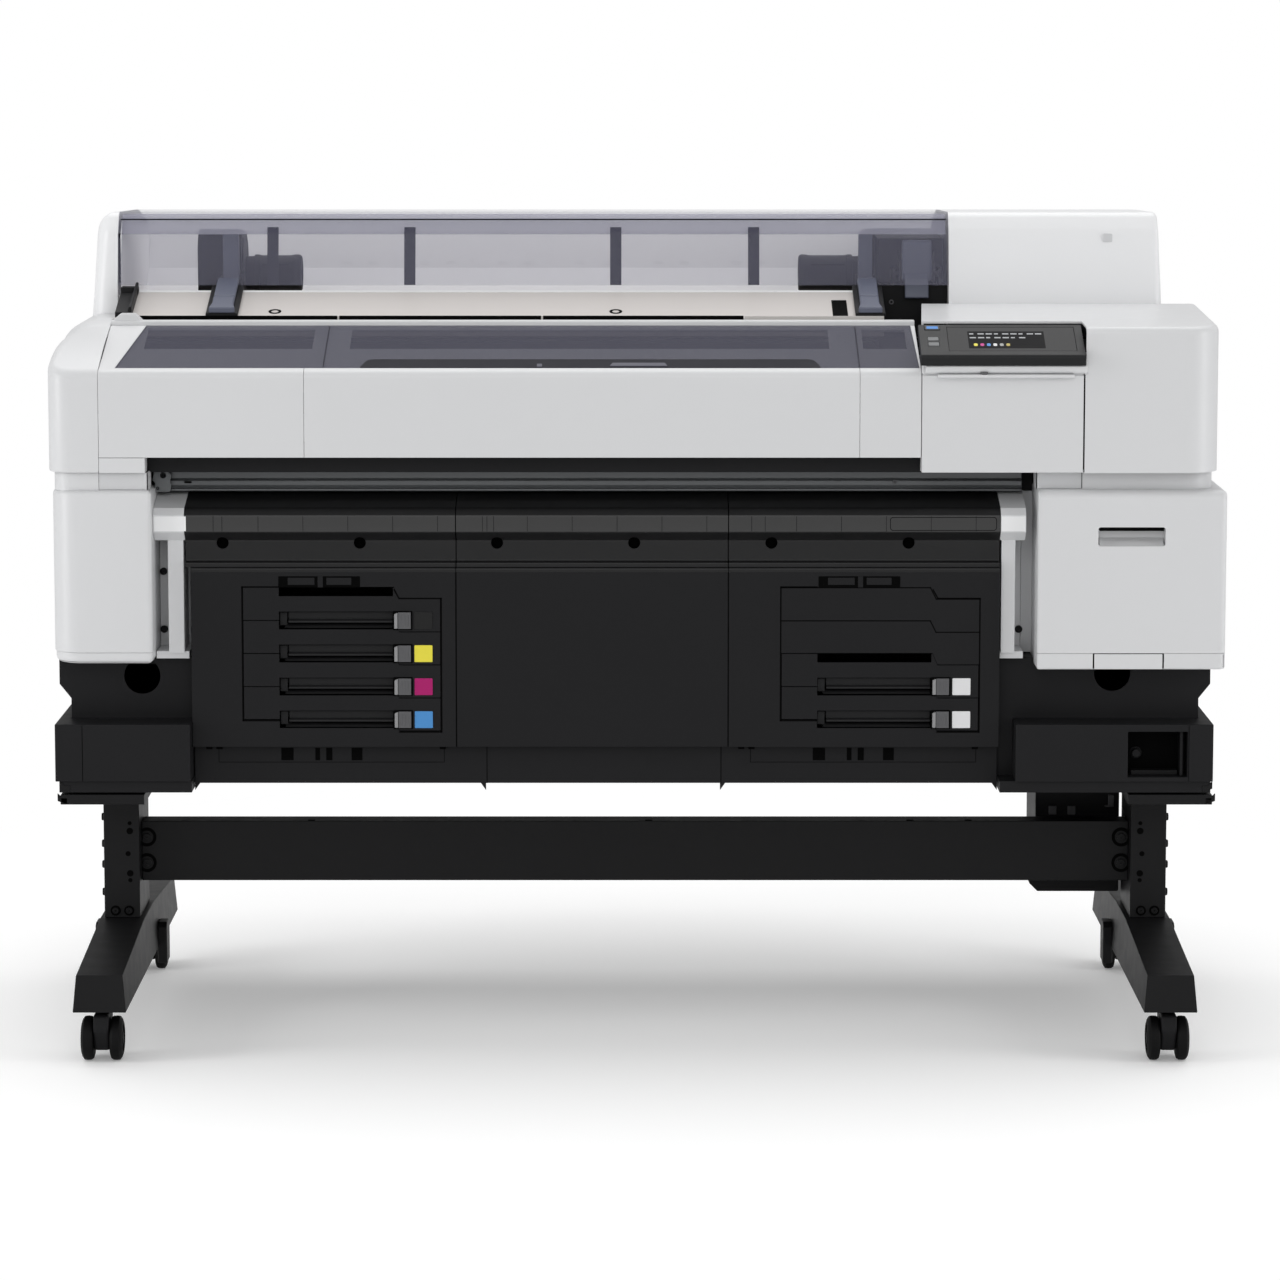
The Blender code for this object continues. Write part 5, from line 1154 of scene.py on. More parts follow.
def roll_bay():
    """Slot, rollers, end block and pale walls of the roll bay; the walls and their scale marks glow faintly, as
    painted light.
    """
    board = span("media_feed_board", 0)
    edge = span("media_feed_board", 1)[0] + 0.002
    # dark slot in front of the slope, in three lengths
    bm = bmesh.new()
    for a, b in ((board[0] + 0.021, -0.4196), (-0.4170, -0.1346), (-0.1320, 0.1485)):
        block((a, b), (edge - 0.0030, edge - 0.0004), (LEDGE_TOP - 0.004, LEDGE_TOP + 0.0045), bm)
    piece(bm, "feed_slot", DEEP, bevel=0.0004)
    bm = bmesh.new()
    block((0.1500, board[1]), (edge - 0.0030, edge - 0.0004), (LEDGE_TOP - 0.004, LEDGE_TOP + 0.0040), bm)
    for at in (-0.4192, -0.1342):
        block((at, at + 0.0018), (edge - 0.0030, edge - 0.0004), (LEDGE_TOP - 0.004, LEDGE_TOP + 0.0045), bm)
    piece(bm, "feed_slot_edge", BOARD, bevel=0.0004)
    # crest line in brighter white as a painted highlight, rollers, notch
    bm = bmesh.new()
    slope_slab(bm, (board[0] + 0.024, board[1]), (ROLL_Y - 0.0085, ROLL_Y - 0.0015), 0.0001, 0.0004)
    piece(bm, "slope_crest_painted_highlight", WHITE_PAINTED_HIGHLIGHT, bevel=0)
    for name, at in (("left", -0.5092), ("middle", -0.0303)):
        bm = bmesh.new()
        tilt = math.atan2(slope_surface(0.1) - slope_surface(0), 0.1)
        ring(bm, "Z", (0, 0), 0.0090, 0.0052, -0.0006, 0.0005)
        bm.transform(Matrix.Translation((at, edge + 0.028,
                                         slope_surface(edge + 0.028))) @ Matrix.Rotation(tilt, 4, "X"))
        piece(bm, name + "_slope_ring", DEEP, bevel=0.0001)
    bm = bmesh.new()
    slope_slab(bm, (0.2741, 0.2954), (edge, edge + 0.072), 0.0, 0.0004)
    piece(bm, "slope_notch", DEEP, bevel=0)
    # dark end block and strut at the left
    bm = bmesh.new()
    slope_slab(bm, (board[0] + 0.001, board[0] + 0.0195), (edge + 0.004, ROLL_Y - 0.004), 0.0003, 0.0075)
    block((board[0] + 0.001, board[0] + 0.0195), (ROLL_Y - 0.030, ROLL_Y - 0.004),
          (ROLL_BOTTOM - 0.014, ROLL_BOTTOM - 0.0012), bm)
    block((board[0] + 0.0205, board[0] + 0.0245), (ROLL_Y - 0.030, ROLL_Y - 0.004),
          (ROLL_BOTTOM - 0.014, ROLL_BOTTOM - 0.0016), bm)
    slope_slab(bm, (board[0] + 0.0205, board[0] + 0.0245), (edge + 0.004, ROLL_Y - 0.010), 0.0003, 0.0150)
    piece(bm, "slope_end_block", BLACK, bevel=0.0010)
    lug = round_corners([(board[0] + 0.001, LEDGE_TOP - 0.001), (board[0] + 0.0130, LEDGE_TOP + 0.0095),
                         (board[0] + 0.0330, LEDGE_TOP + 0.0095), (board[0] + 0.0440, LEDGE_TOP - 0.001)],
                        [0, 0.004, 0.004, 0], 4)
    piece(prism("Y", lug, SLOPE_END + 0.006, SLOPE_END + 0.0245), "ledge_lug", WHITE,
          bevel=0.0012)
    # pale wall at the back of the bay; it glows faintly, as painted light
    trough = span("media_feed_board", 2)[0] + 0.003
    wall = [(BACK - 0.128, trough + 0.0275), (BACK - 0.0640, trough + 0.0870),
            (BACK - 0.0345, ROLL_TOP - 0.0465)]
    piece(prism("X", sheet(wall, 0.0008), -0.7350, 0.3420), "bay_back_wall", BAY_WALL_PAINTED_GLOW,
          bevel=0)
    end = [(ROLL_Y + 0.010, ROLL_BOTTOM - 0.012), (BACK - 0.120, trough + 0.0285),
           (BACK - 0.0640, trough + 0.0850), (BACK - 0.0400, ROLL_TOP - 0.0465),
           (BACK - 0.160, ROLL_TOP - 0.0200), (ROLL_Y + 0.030, ROLL_TOP - 0.0120),
           (ROLL_Y + 0.012, ROLL_TOP - 0.0320)]
    piece(prism("X", end, -0.7352, -0.7342), "bay_end_wall", BAY_WALL_PAINTED_GLOW, bevel=0)
    bm = bmesh.new()
    a, b = Vector((BACK - 0.0640, trough + 0.0870)), Vector((BACK - 0.0345, ROLL_TOP - 0.0465))
    side = (b - a).normalized()
    out = Vector((-side.y, side.x))
    for k in range(24):
        x0 = -0.600 + 0.0390 * k
        tall = 0.010 if k % 3 == 0 else 0.0055
        p, q = a + side * 0.006, a + side * (0.006 + tall)
        corners = [p + out * 0.0009, p + out * 0.0013, q + out * 0.0013, q + out * 0.0009]
        prism("X", [tuple(c) for c in corners], x0, x0 + (0.0150 if k % 3 else 0.0030), bm)
    piece(bm, "bay_scale_marks", SCALE_MARK_PAINTED_GLOW, bevel=0)


def roll_cover_details():
    """Ribs, rolled edge and edge lines of the roll cover."""
    x = span("roll_cover", 0)
    front_line = roll_outline()

    def inside(limit, offset):
        path = [p for p in front_line if p[0] < ROLL_Y + 0.05 and p[1] <= limit + 1e-6]
        return sheet([(u + offset, v - offset * (0.6 if v > ROLL_TOP - 0.02 else 0.0)) for u, v in path],
                     -0.0015)
    bm = bmesh.new()
    for at in (-0.5187, -0.3238, -0.0307, 0.1656):
        prism("X", inside(ROLL_TOP - 0.012, 0.0036), at - 0.0080, at + 0.0080, bm)
    piece(bm, "roll_cover_ribs", DEEP_BLUE, "roll_cover", bevel=0)
    # rolled edge along the top front: a pale, half-clear band, painted light that stands for the lit ceiling of
    # the cover seen through its front
    path = [(ROLL_Y + 0.0138, ROLL_TOP - 0.0265)]
    path += [p for p in front_line if p[1] > ROLL_TOP - 0.0262 and p[0] < ROLL_Y + 0.120]
    path.append((ROLL_Y + 0.115, ROLL_TOP - 0.0027))
    shift = [(u + 0.0040, v - 0.0040) for u, v in path]
    piece(prism("X", sheet(shift, -0.0010), x[0] + 0.004, x[1] - 0.004), "roll_cover_top_painted_light", ROLL_EDGE_PAINTED_LIGHT,
          "roll_cover",
          bevel=0, smooth=35)
    bm = bmesh.new()
    prism("X", sheet([(ROLL_Y + 0.0178, ROLL_TOP - 0.0110), (ROLL_Y + 0.0186, ROLL_TOP - 0.0092)], -0.0006),
          x[0] + 0.003,
          x[1] - 0.003, bm)
    block((x[0] + 0.0005, x[0] + 0.0035), (ROLL_Y + 0.012, ROLL_Y + 0.018),
          (ROLL_BOTTOM + 0.002, ROLL_TOP - 0.030), bm)
    piece(bm, "roll_cover_edge_lines", DEEP_BLUE, "roll_cover", bevel=0)


def holder(side, body, lever_body, block_x, arm_x, hub_x, facing):
    """Roll holder: cheek and hub at the back, saddle over the slope, blue-grey arm and lever."""
    trough = span("media_feed_board", 2)[0] + 0.003
    hub_y, hub_z = ROLL_Y + 0.180, trough + 0.091
    cheek = [(ROLL_Y + 0.102, trough + 0.0005), (hub_y + 0.040, trough + 0.0005), (hub_y + 0.050, hub_z),
             (hub_y + 0.030, hub_z + 0.060), (hub_y - 0.065, hub_z + 0.068), (ROLL_Y + 0.096, hub_z + 0.045)]
    cheek = round_corners(cheek, [0.006, 0.010, 0.030, 0.025, 0.020, 0.020], 5)
    bm = prism("X", cheek, *block_x)
    piece(bm, side + "_holder_cheek", BLACK, body, bevel=0.0030, segments=3,
          replaces=[side + "_roll_holder"])
    inset = [tuple(Vector((hub_y, hub_z)) + (Vector(p) - Vector((hub_y, hub_z))) * 0.80) for p in cheek]
    face = block_x[1] if facing > 0 else block_x[0]
    bm = prism("X", inset, *sorted((face, face + facing * 0.0015)))
    piece(bm, side + "_holder_plate", BLACK_LIGHT, body, bevel=0.0008)
    # hub with flange, chamfer and three grip lugs
    start, end = hub_x if facing > 0 else hub_x[::-1]
    sign = 1 if end > start else -1
    length = abs(end - start)
    profile = [(0, 0.0250), (0.012, 0.0250), (0.0125, 0.0275), (0.020, 0.0275), (0.0205, 0.0262),
               (length - 0.014, 0.0262),
               (length - 0.012, 0.0275), (length - 0.004, 0.0275), (length - 0.0015, 0.0262),
               (length, 0.0238),
               (length, 0.0150), (length - 0.003, 0.0145)]
    bm = bmesh.new()
    turned(bm, "X", (hub_y, hub_z), [(start + sign * w, r) for w, r in profile], 40)
    for k in range(3):
        t = 2 * math.pi * k / 3 + 0.5
        spot = (hub_y + 0.0262 * math.cos(t), hub_z + 0.0262 * math.sin(t))
        outline = [(spot[0] + dy, spot[1] + dz) for dy,
                   dz in ((-0.0012, -0.0012), (0.0012, -0.0012), (0.0012, 0.0012), (-0.0012, 0.0012))]
        prism("X", outline, *sorted((start + sign * 0.024, start + sign * (length - 0.018))), bm)
    piece(bm, side + "_holder_hub", BLACK, body, bevel=0, smooth=35)
    # tie under the roll and saddle over the slope
    tie = sheet([(ROLL_Y + 0.020, ROLL_BOTTOM - 0.0095), (ROLL_Y + 0.047, trough + 0.0345),
                 (ROLL_Y + 0.104, trough + 0.0055)], 0.006)
    saddle_x = (arm_x[0] - 0.0075, arm_x[1] + 0.0075)
    bm = prism("X", tie, arm_x[0], arm_x[1])
    slope_slab(bm, saddle_x, (span("media_feed_board", 1)[0] + 0.0048, ROLL_Y + 0.002), 0.0010, 0.0060, 1)
    piece(bm, side + "_holder_saddle", BLACK, body, bevel=0.0018, segments=3)
    split = ROLL_Y - 0.064
    for name, a, b, grow in (("lower", span("media_feed_board", 1)[0] + 0.0042, split - 0.0006, 0.0035),
                             ("upper", split + 0.0006, ROLL_Y + 0.010, 0)):
        bm = bmesh.new()
        rows = []
        for v, extra in ((a, grow), (a + (b - a) * 0.45, 0), (b, 0)):
            z = slope_surface(v) + 0.0068
            rows.append([(arm_x[0] - extra, v, z), (arm_x[1] + extra, v, z),
                         (arm_x[1] + extra, v, z + 0.0085),
                         (arm_x[0] - extra, v, z + 0.0085)])
        stack(bm, rows)
        piece(bm, side + "_holder_arm_" + name, GUNMETAL, body, bevel=0.0022,
              segments=3)
    # locking lever
    axis = (ROLL_Y + 0.061, ROLL_BOTTOM + 0.004)
    for k, ear in enumerate(((arm_x[0] - 0.0005, arm_x[0] + 0.0030),
                             (arm_x[1] - 0.0030, arm_x[1] + 0.0005))):
        outline = round_corners([(axis[0] - 0.008, axis[1] - 0.022), (axis[0] + 0.008, axis[1] - 0.022),
                                 (axis[0] + 0.008, axis[1] + 0.008), (axis[0] - 0.008, axis[1] + 0.008)],
                                 [0, 0, 0.007, 0.007], 5)
        piece(prism("X", outline, *ear), side + "_holder_ear_" + "ab"[k], BLACK, body, bevel=0.0006)
    lever = round_corners([(-0.0065, -0.0085), (0.0060, -0.0085), (0.0065, 0.015), (0.0010, 0.060),
                           (-0.0050, 0.0690),
                           (-0.0110, 0.0680), (-0.0070, 0.015)],
                           [0.004, 0.004, 0.02, 0.01, 0.004, 0.004, 0.02], 5)
    bm = prism("X", [(axis[0] + u, axis[1] + v) for u, v in lever], arm_x[0] + 0.0036, arm_x[1] - 0.0036)
    piece(bm, side + "_holder_handle", GUNMETAL, lever_body, bevel=0.0018,
          segments=3,
          replaces=[side + "_holder_lever"])


def holders():
    """Left and right roll holders."""
    left = LEFT_SIDE
    holder("left", "left_holder", "left_lever", (left + 0.1700, left + 0.2330),
           (left + 0.2070, left + 0.2370),
           (left + 0.2340, left + 0.3150), 1)
    right = RIGHT_SIDE
    holder("right", "right_holder", "right_lever", (right - 0.4790, right - 0.4620),
           (right - 0.4910, right - 0.4640),
           (right - 0.5690, right - 0.4790), -1)


def media_lever():
    """Lever that lifts the pinch rollers, and the cheeks beside it."""
    x = span("media_lever", 0)
    axis = (ROLL_Y + 0.040, ROLL_BOTTOM + 0.014)
    upper = round_corners([(-0.0095, -0.010), (0.0085, -0.010), (0.0085, 0.014), (0.0035, 0.0480),
                           (-0.0080, 0.0480), (-0.0100, 0.012)],
                          [0.004, 0.004, 0.010, 0.005, 0.005, 0.010], 5)
    bm = prism("X", [(axis[0] + u, axis[1] + v) for u, v in upper], x[0] + 0.009, x[1] - 0.0085)
    piece(bm, "media_lever_grip", GUNMETAL, "media_lever", bevel=0.0030, segments=3,
          replaces=["media_lever"])
    hook = round_corners([(-0.0080, 0.004), (-0.0170, -0.006), (-0.0240, -0.034), (-0.0170, -0.034),
                          (-0.0125, -0.016), (-0.0080, -0.012)],
                         [0.002, 0.005, 0.002, 0.002, 0.003, 0.002], 4)
    bm = prism("X", [(axis[0] + u, axis[1] + v) for u, v in hook], x[0] + 0.0125, x[1] - 0.0135)
    piece(bm, "media_lever_hook", GUNMETAL, "media_lever", bevel=0.0016, segments=3)
    for k, side in enumerate(((x[0] + 0.0040, x[0] + 0.0082), (x[1] - 0.0078, x[1] - 0.0036))):
        cheek = round_corners([(-0.006, -0.012), (0.016, -0.012), (0.016, 0.030), (0.000, 0.034),
                               (-0.006, 0.010)], 0.004, 4)
        piece(prism("X", [(axis[0] + u, axis[1] + v) for u, v in cheek], *side),
              "media_lever_cheek_" + "ab"[k], BLACK_LIGHT,
              bevel=0.0008)
    bm = bmesh.new()
    ring(bm, "Y", (x[0] - 0.006, 0.9985), 0.0035, 0.0018, 0.0405, 0.0419)
    piece(bm, "housing_screw", LOCK, bevel=0.0002)


def casters():
    """Twin wheels, axle, hood and swivel of each caster."""
    for place in ("front_left", "front_right", "rear_left", "rear_right"):
        low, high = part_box("caster_wheels_" + place)
        x, y, r = (low.x + high.x) / 2, (low.y + high.y) / 2, (high.z - low.z) / 2
        for k, sign in enumerate((-1, 1)):
            inner, outer = 0.0110, 0.0280
            profile = [(inner, 0.0060), (inner, 0.0240), (inner + 0.0012, r - 0.0022),
                       (inner + 0.0040, r - 0.0003),
                       (inner + 0.0085, r), (inner + 0.0130, r - 0.0005), (outer - 0.0014, r - 0.0040),
                       (outer, r - 0.0085),
                       (outer, r - 0.0110), (outer - 0.0022, r - 0.0120), (outer - 0.0022, 0.0090),
                       (outer - 0.0004, 0.0080),
                       (outer - 0.0004, 0.0020)]
            bm = bmesh.new()
            turned(bm, "X", (y, r), [(x + sign * w, rad) for w, rad in profile], 48)
            piece(bm, "wheel_" + place + "_" + "ab"[k], RUBBER, "wheels_" + place, bevel=0,
                  smooth=28,
                  replaces=["caster_wheels_" + place] if k == 0 else ())
        bm = bmesh.new()
        turned(bm, "X", (y, r), [(x - 0.0115, 0.0042), (x + 0.0115, 0.0042)], 20)
        piece(bm, "axle_" + place, STEEL_BLACK, "wheels_" + place, bevel=0)
        # hood between the wheels, swivel neck and top washer
        side = round_corners([(-0.0130, 0.0150), (0.0080, 0.0130), (0.0310, 0.0380), (0.0340, 0.0660),
                              (-0.0220, 0.0660), (-0.0270, 0.0450)],
                             [0.010, 0.012, 0.012, 0.006, 0.006, 0.012], 5)
        bm = prism("X", [(y + u, v) for u, v in side], x - 0.0105, x + 0.0105)
        piece(bm, "hood_" + place, BLACK, "caster_" + place, bevel=0.0035, segments=3,
              replaces=["caster_fork_" + place])
        pivot = (x, y + 0.018)
        bm = bmesh.new()
        turned(bm, "Z", pivot, [(0.0640, 0.0150), (0.0680, 0.0165), (0.0690, 0.0130), (0.0700, 0.0130),
                                (0.0700, 0.0175), (0.0727, 0.0175)], 32)
        piece(bm, "swivel_" + place, STEEL_BLACK, "caster_" + place, bevel=0, smooth=35)


def stand_details():
    """Brackets, holes, screws and lips of the stand, and the waste unit."""
    for side, sign in (("left", -1), ("right", 1)):
        foot = span(side + "_foot", 0)
        middle = (foot[0] + foot[1]) / 2
        post_front = -0.1605
        beam_front = span("cross_beam", 1)[0]
        outer = middle + sign * 0.025
        # block on the inner flank and lug on the outer one
        inner = middle - sign * 0.0335
        flank = round_corners([(-0.012, 0.048), (0.030, 0.048), (0.030, 0.100), (0.022, 0.1075),
                               (-0.004, 0.1075), (-0.012, 0.100)],
                              [0.002, 0.002, 0.002, 0.005, 0.005, 0.002], 4)
        piece(prism("X", flank, *sorted((inner, inner - sign * 0.0135))), side + "_foot_bracket",
              STEEL_BLACK,
              bevel=0.0020, segments=3)
        lug = round_corners([(-0.112, 0.096), (-0.070, 0.096), (-0.070, 0.1230), (-0.076, 0.1270),
                             (-0.106, 0.1270), (-0.112, 0.1230)], 0.002, 3)
        piece(prism("X", lug, *sorted((middle + sign * 0.0330, middle + sign * 0.0440))), side + "_foot_lug",
              STEEL_BLACK,
              bevel=0.0014)
        # holes and screws of the post; the holes are flat deep-black discs, painted shade
        bm = bmesh.new()
        for dx, z, r in ((0.0117, 0.2792, 0.0028), (0.0117, 0.2680, 0.0046), (0.0090, 0.2357, 0.0036),
                         (0.0117, 0.2077, 0.0046),
                         (0.0117, 0.1979, 0.0030)):
            turned(bm, "Y", (middle - sign * dx, z), [(post_front - 0.0003, r), (post_front + 0.0003, r)],
                   20)
        piece(bm, side + "_post_holes_painted_shade", DEEP, bevel=0)
        for k, z in enumerate((0.2850, 0.2469, 0.2173, 0.1779)):
            bolt("%s_post_screw_%d" % (side, k), (outer, -0.140, z), (sign, 0, 0), 0.0055, "frame",
                 height=0.0046)
        bm = bmesh.new()
        for dx in (-0.0095, 0.0095):
            ring(bm, "Y", (middle + dx, 0.1545), 0.0072, 0.0046, post_front - 0.0008, post_front + 0.0005)
        piece(bm, side + "_base_bolt_rings", DEEP, bevel=0.0002)
        for k, dx in enumerate((-0.0095, 0.0095)):
            bolt("%s_base_bolt_%d" % (side, k), (middle + dx, post_front, 0.1545), (0, -1, 0), 0.0045,
                 "frame", height=0.0030)
        bolt_x = -0.6922 if sign < 0 else 0.6828
        for k, z in enumerate((0.2541, 0.2174)):
            bm = bmesh.new()
            ring(bm, "Y", (bolt_x, z), 0.0135, 0.0092, beam_front - 0.0010, beam_front + 0.0005)
            piece(bm, "%s_beam_ring_%d" % (side, k), DEEP, bevel=0.0002)
            bolt("%s_beam_bolt_%d" % (side, k), (bolt_x, beam_front, z), (0, -1, 0), 0.0060, "frame",
                 height=0.0028)
        # folded lips of the pan and of the top plate
        plate = span(side + "_post", 0)
        pan_z = 0.3467
        edge_x = plate[0] if sign < 0 else plate[1]
        bm = bmesh.new()
        for low_z, high_z, dx in ((pan_z - 0.0012, pan_z + 0.0158, -0.0035), (0.3285, 0.3455, 0.0005)):
            tip = edge_x + sign * dx
            outline = [(tip - sign * 0.010, low_z + 0.0015), (tip + sign * 0.0035, low_z + 0.0065),
                       (tip + sign * 0.0035, high_z),
                       (tip - sign * 0.0025, high_z - 0.0060), (tip - sign * 0.010, high_z - 0.0060)]
            prism("Y", outline, -0.3025, -0.2985, bm)
        piece(bm, side + "_pan_lips", STEEL_BLACK, bevel=0.0006)
    # marks on top of the beam
    bm = bmesh.new()
    z = span("cross_beam", 2)[1]
    for at in (-0.4650, 0.0110, 0.3800, 0.4620):
        block((at, at + 0.010), (span("cross_beam", 1)[0] + 0.003, span("cross_beam", 1)[0] + 0.009),
              (z - 0.0005, z + 0.0006), bm)
    piece(bm, "beam_clips", DEEP, bevel=0.0003)
    # waste unit
    y = span("waste_ink_unit", 1)
    low, high = span("waste_ink_unit", 2)
    hull = round_corners([(0.5700, low + 0.055), (0.6900, low + 0.055), (0.6900, high), (0.5700, high)],
                         [0.003, 0.003, 0.002, 0.002], 3)
    piece(prism("Y", hull, y[0], y[1]), "waste_unit_body", BLACK, bevel=0.0015, replaces=["waste_ink_unit"])
    tray = round_corners([(0.5740, low), (0.6905, low), (0.6905, low + 0.012), (0.6905, low + 0.057),
                          (0.5620, low + 0.057),
                          (0.5620, low + 0.012)], 0.003, 3)
    piece(prism("Y", tray, y[0], y[1]), "waste_unit_tray", BLACK, bevel=0.0020)
    bm = bmesh.new()
    for at in (0.5890, 0.6160):
        block((at, at + 0.0115), (y[0] - 0.0020, y[0] + 0.0010), (0.2690, 0.2815), bm)
    block((0.6690, 0.6820), (y[0] - 0.0030, y[0] + 0.0010), (0.2800, 0.2830), bm)
    block((0.6740, 0.6820), (y[0] - 0.0030, y[0] + 0.0010), (0.2800, 0.2980), bm)
    piece(bm, "waste_unit_catches", LOCK, bevel=0.0010)


def base_details():
    """Seams, socket pocket and front rail of the base."""
    front = span("left_base_cover", 1)[0]
    top = span("left_base_cover", 2)
    bm = bmesh.new()
    line(bm, (LEFT_SIDE + 0.0435, top[0] + 0.001), (LEFT_SIDE + 0.0435, top[1] - 0.001), 0.0009, front)
    line(bm, (RIGHT_SIDE - 0.0485, top[0] + 0.001), (RIGHT_SIDE - 0.0485, top[1] - 0.001), 0.0009, front)
    piece(bm, "base_cover_seams", DEEP, bevel=0)
    pocket_x, floor_y = RIGHT_SIDE - 0.1180, front + 0.0370
    bm = bmesh.new()
    turned(bm, "Y", (pocket_x, top[0] + 0.0350),
           [(floor_y + 0.0005, 0.0085), (floor_y - 0.0035, 0.0085), (floor_y - 0.0042, 0.0065),
                                                 (floor_y - 0.0100, 0.0062), (floor_y - 0.0110, 0.0052)], 28)
    block((RIGHT_SIDE - 0.0600, RIGHT_SIDE - 0.0560), (floor_y - 0.030, floor_y),
          (top[0] + 0.0070, top[1] - 0.0110), bm)
    block((RIGHT_SIDE - 0.1260, RIGHT_SIDE - 0.0620), (floor_y - 0.020, floor_y),
          (top[0] + 0.0066, top[0] + 0.0130), bm)
    piece(bm, "socket_pocket_fittings", STEEL_BLACK, bevel=0.0006)
    # deep-black floor of the pocket: painted shade
    block_x = (RIGHT_SIDE - 0.1290, RIGHT_SIDE - 0.0550)
    piece(block(block_x, (floor_y - 0.0012, floor_y + 0.0004), (top[0] + 0.0062, top[1] - 0.0102)),
          "socket_pocket_painted_shade", DEEP, bevel=0)
    # front rail under the cabinet: seams, catches and hanging tabs; the recesses and catch openings are
    # deep-black blocks, painted shade
    beam = span("base_beam", 1)[0]
    z = span("base_beam", 2)
    bm = bmesh.new()
    for at in (-0.2076, 0.1154):
        line(bm, (at, z[0] + 0.0005), (at, z[1] - 0.0005), 0.0012, beam)
    for a, b in ((-0.5775, -0.2665), (0.1560, 0.4670)):
        line(bm, (a, z[1] - 0.001), (a, z[1] - 0.0240), 0.0008, beam)
        line(bm, (b, z[1] - 0.001), (b, z[1] - 0.0240), 0.0008, beam)
        line(bm, (a, z[1] - 0.0240), (b, z[1] - 0.0240), 0.0008, beam)
        for dx, w in ((0.0860, 0.0170), (0.1330, 0.0065), (0.1480, 0.0085), (0.1830, 0.0150)):
            block((a + dx, a + dx + w), (beam - 0.0004, beam + 0.0005), (z[1] - 0.0215, z[1] - 0.004), bm)
        for at in (a - 0.0170, a - 0.0030, b - 0.0060):
            block((at, at + 0.0085), (beam - 0.0060, beam + 0.0005), (z[1] - 0.0050, z[1] - 0.0008), bm)
    piece(bm, "front_rail_seams_and_painted_shade", DEEP, bevel=0.0002)
    bm = bmesh.new()
    for at, sign in ((-0.6110, 1), (-0.2090, -1), (0.1140, 1), (0.4965, -1)):
        prism("Y", [(at, z[0] - 0.0100), (at + sign * 0.0075, z[0] + 0.0005), (at, z[0] + 0.0005)], beam,
              beam + 0.0025, bm)
    piece(bm, "front_rail_tabs", STEEL_BLACK, bevel=0.0003)


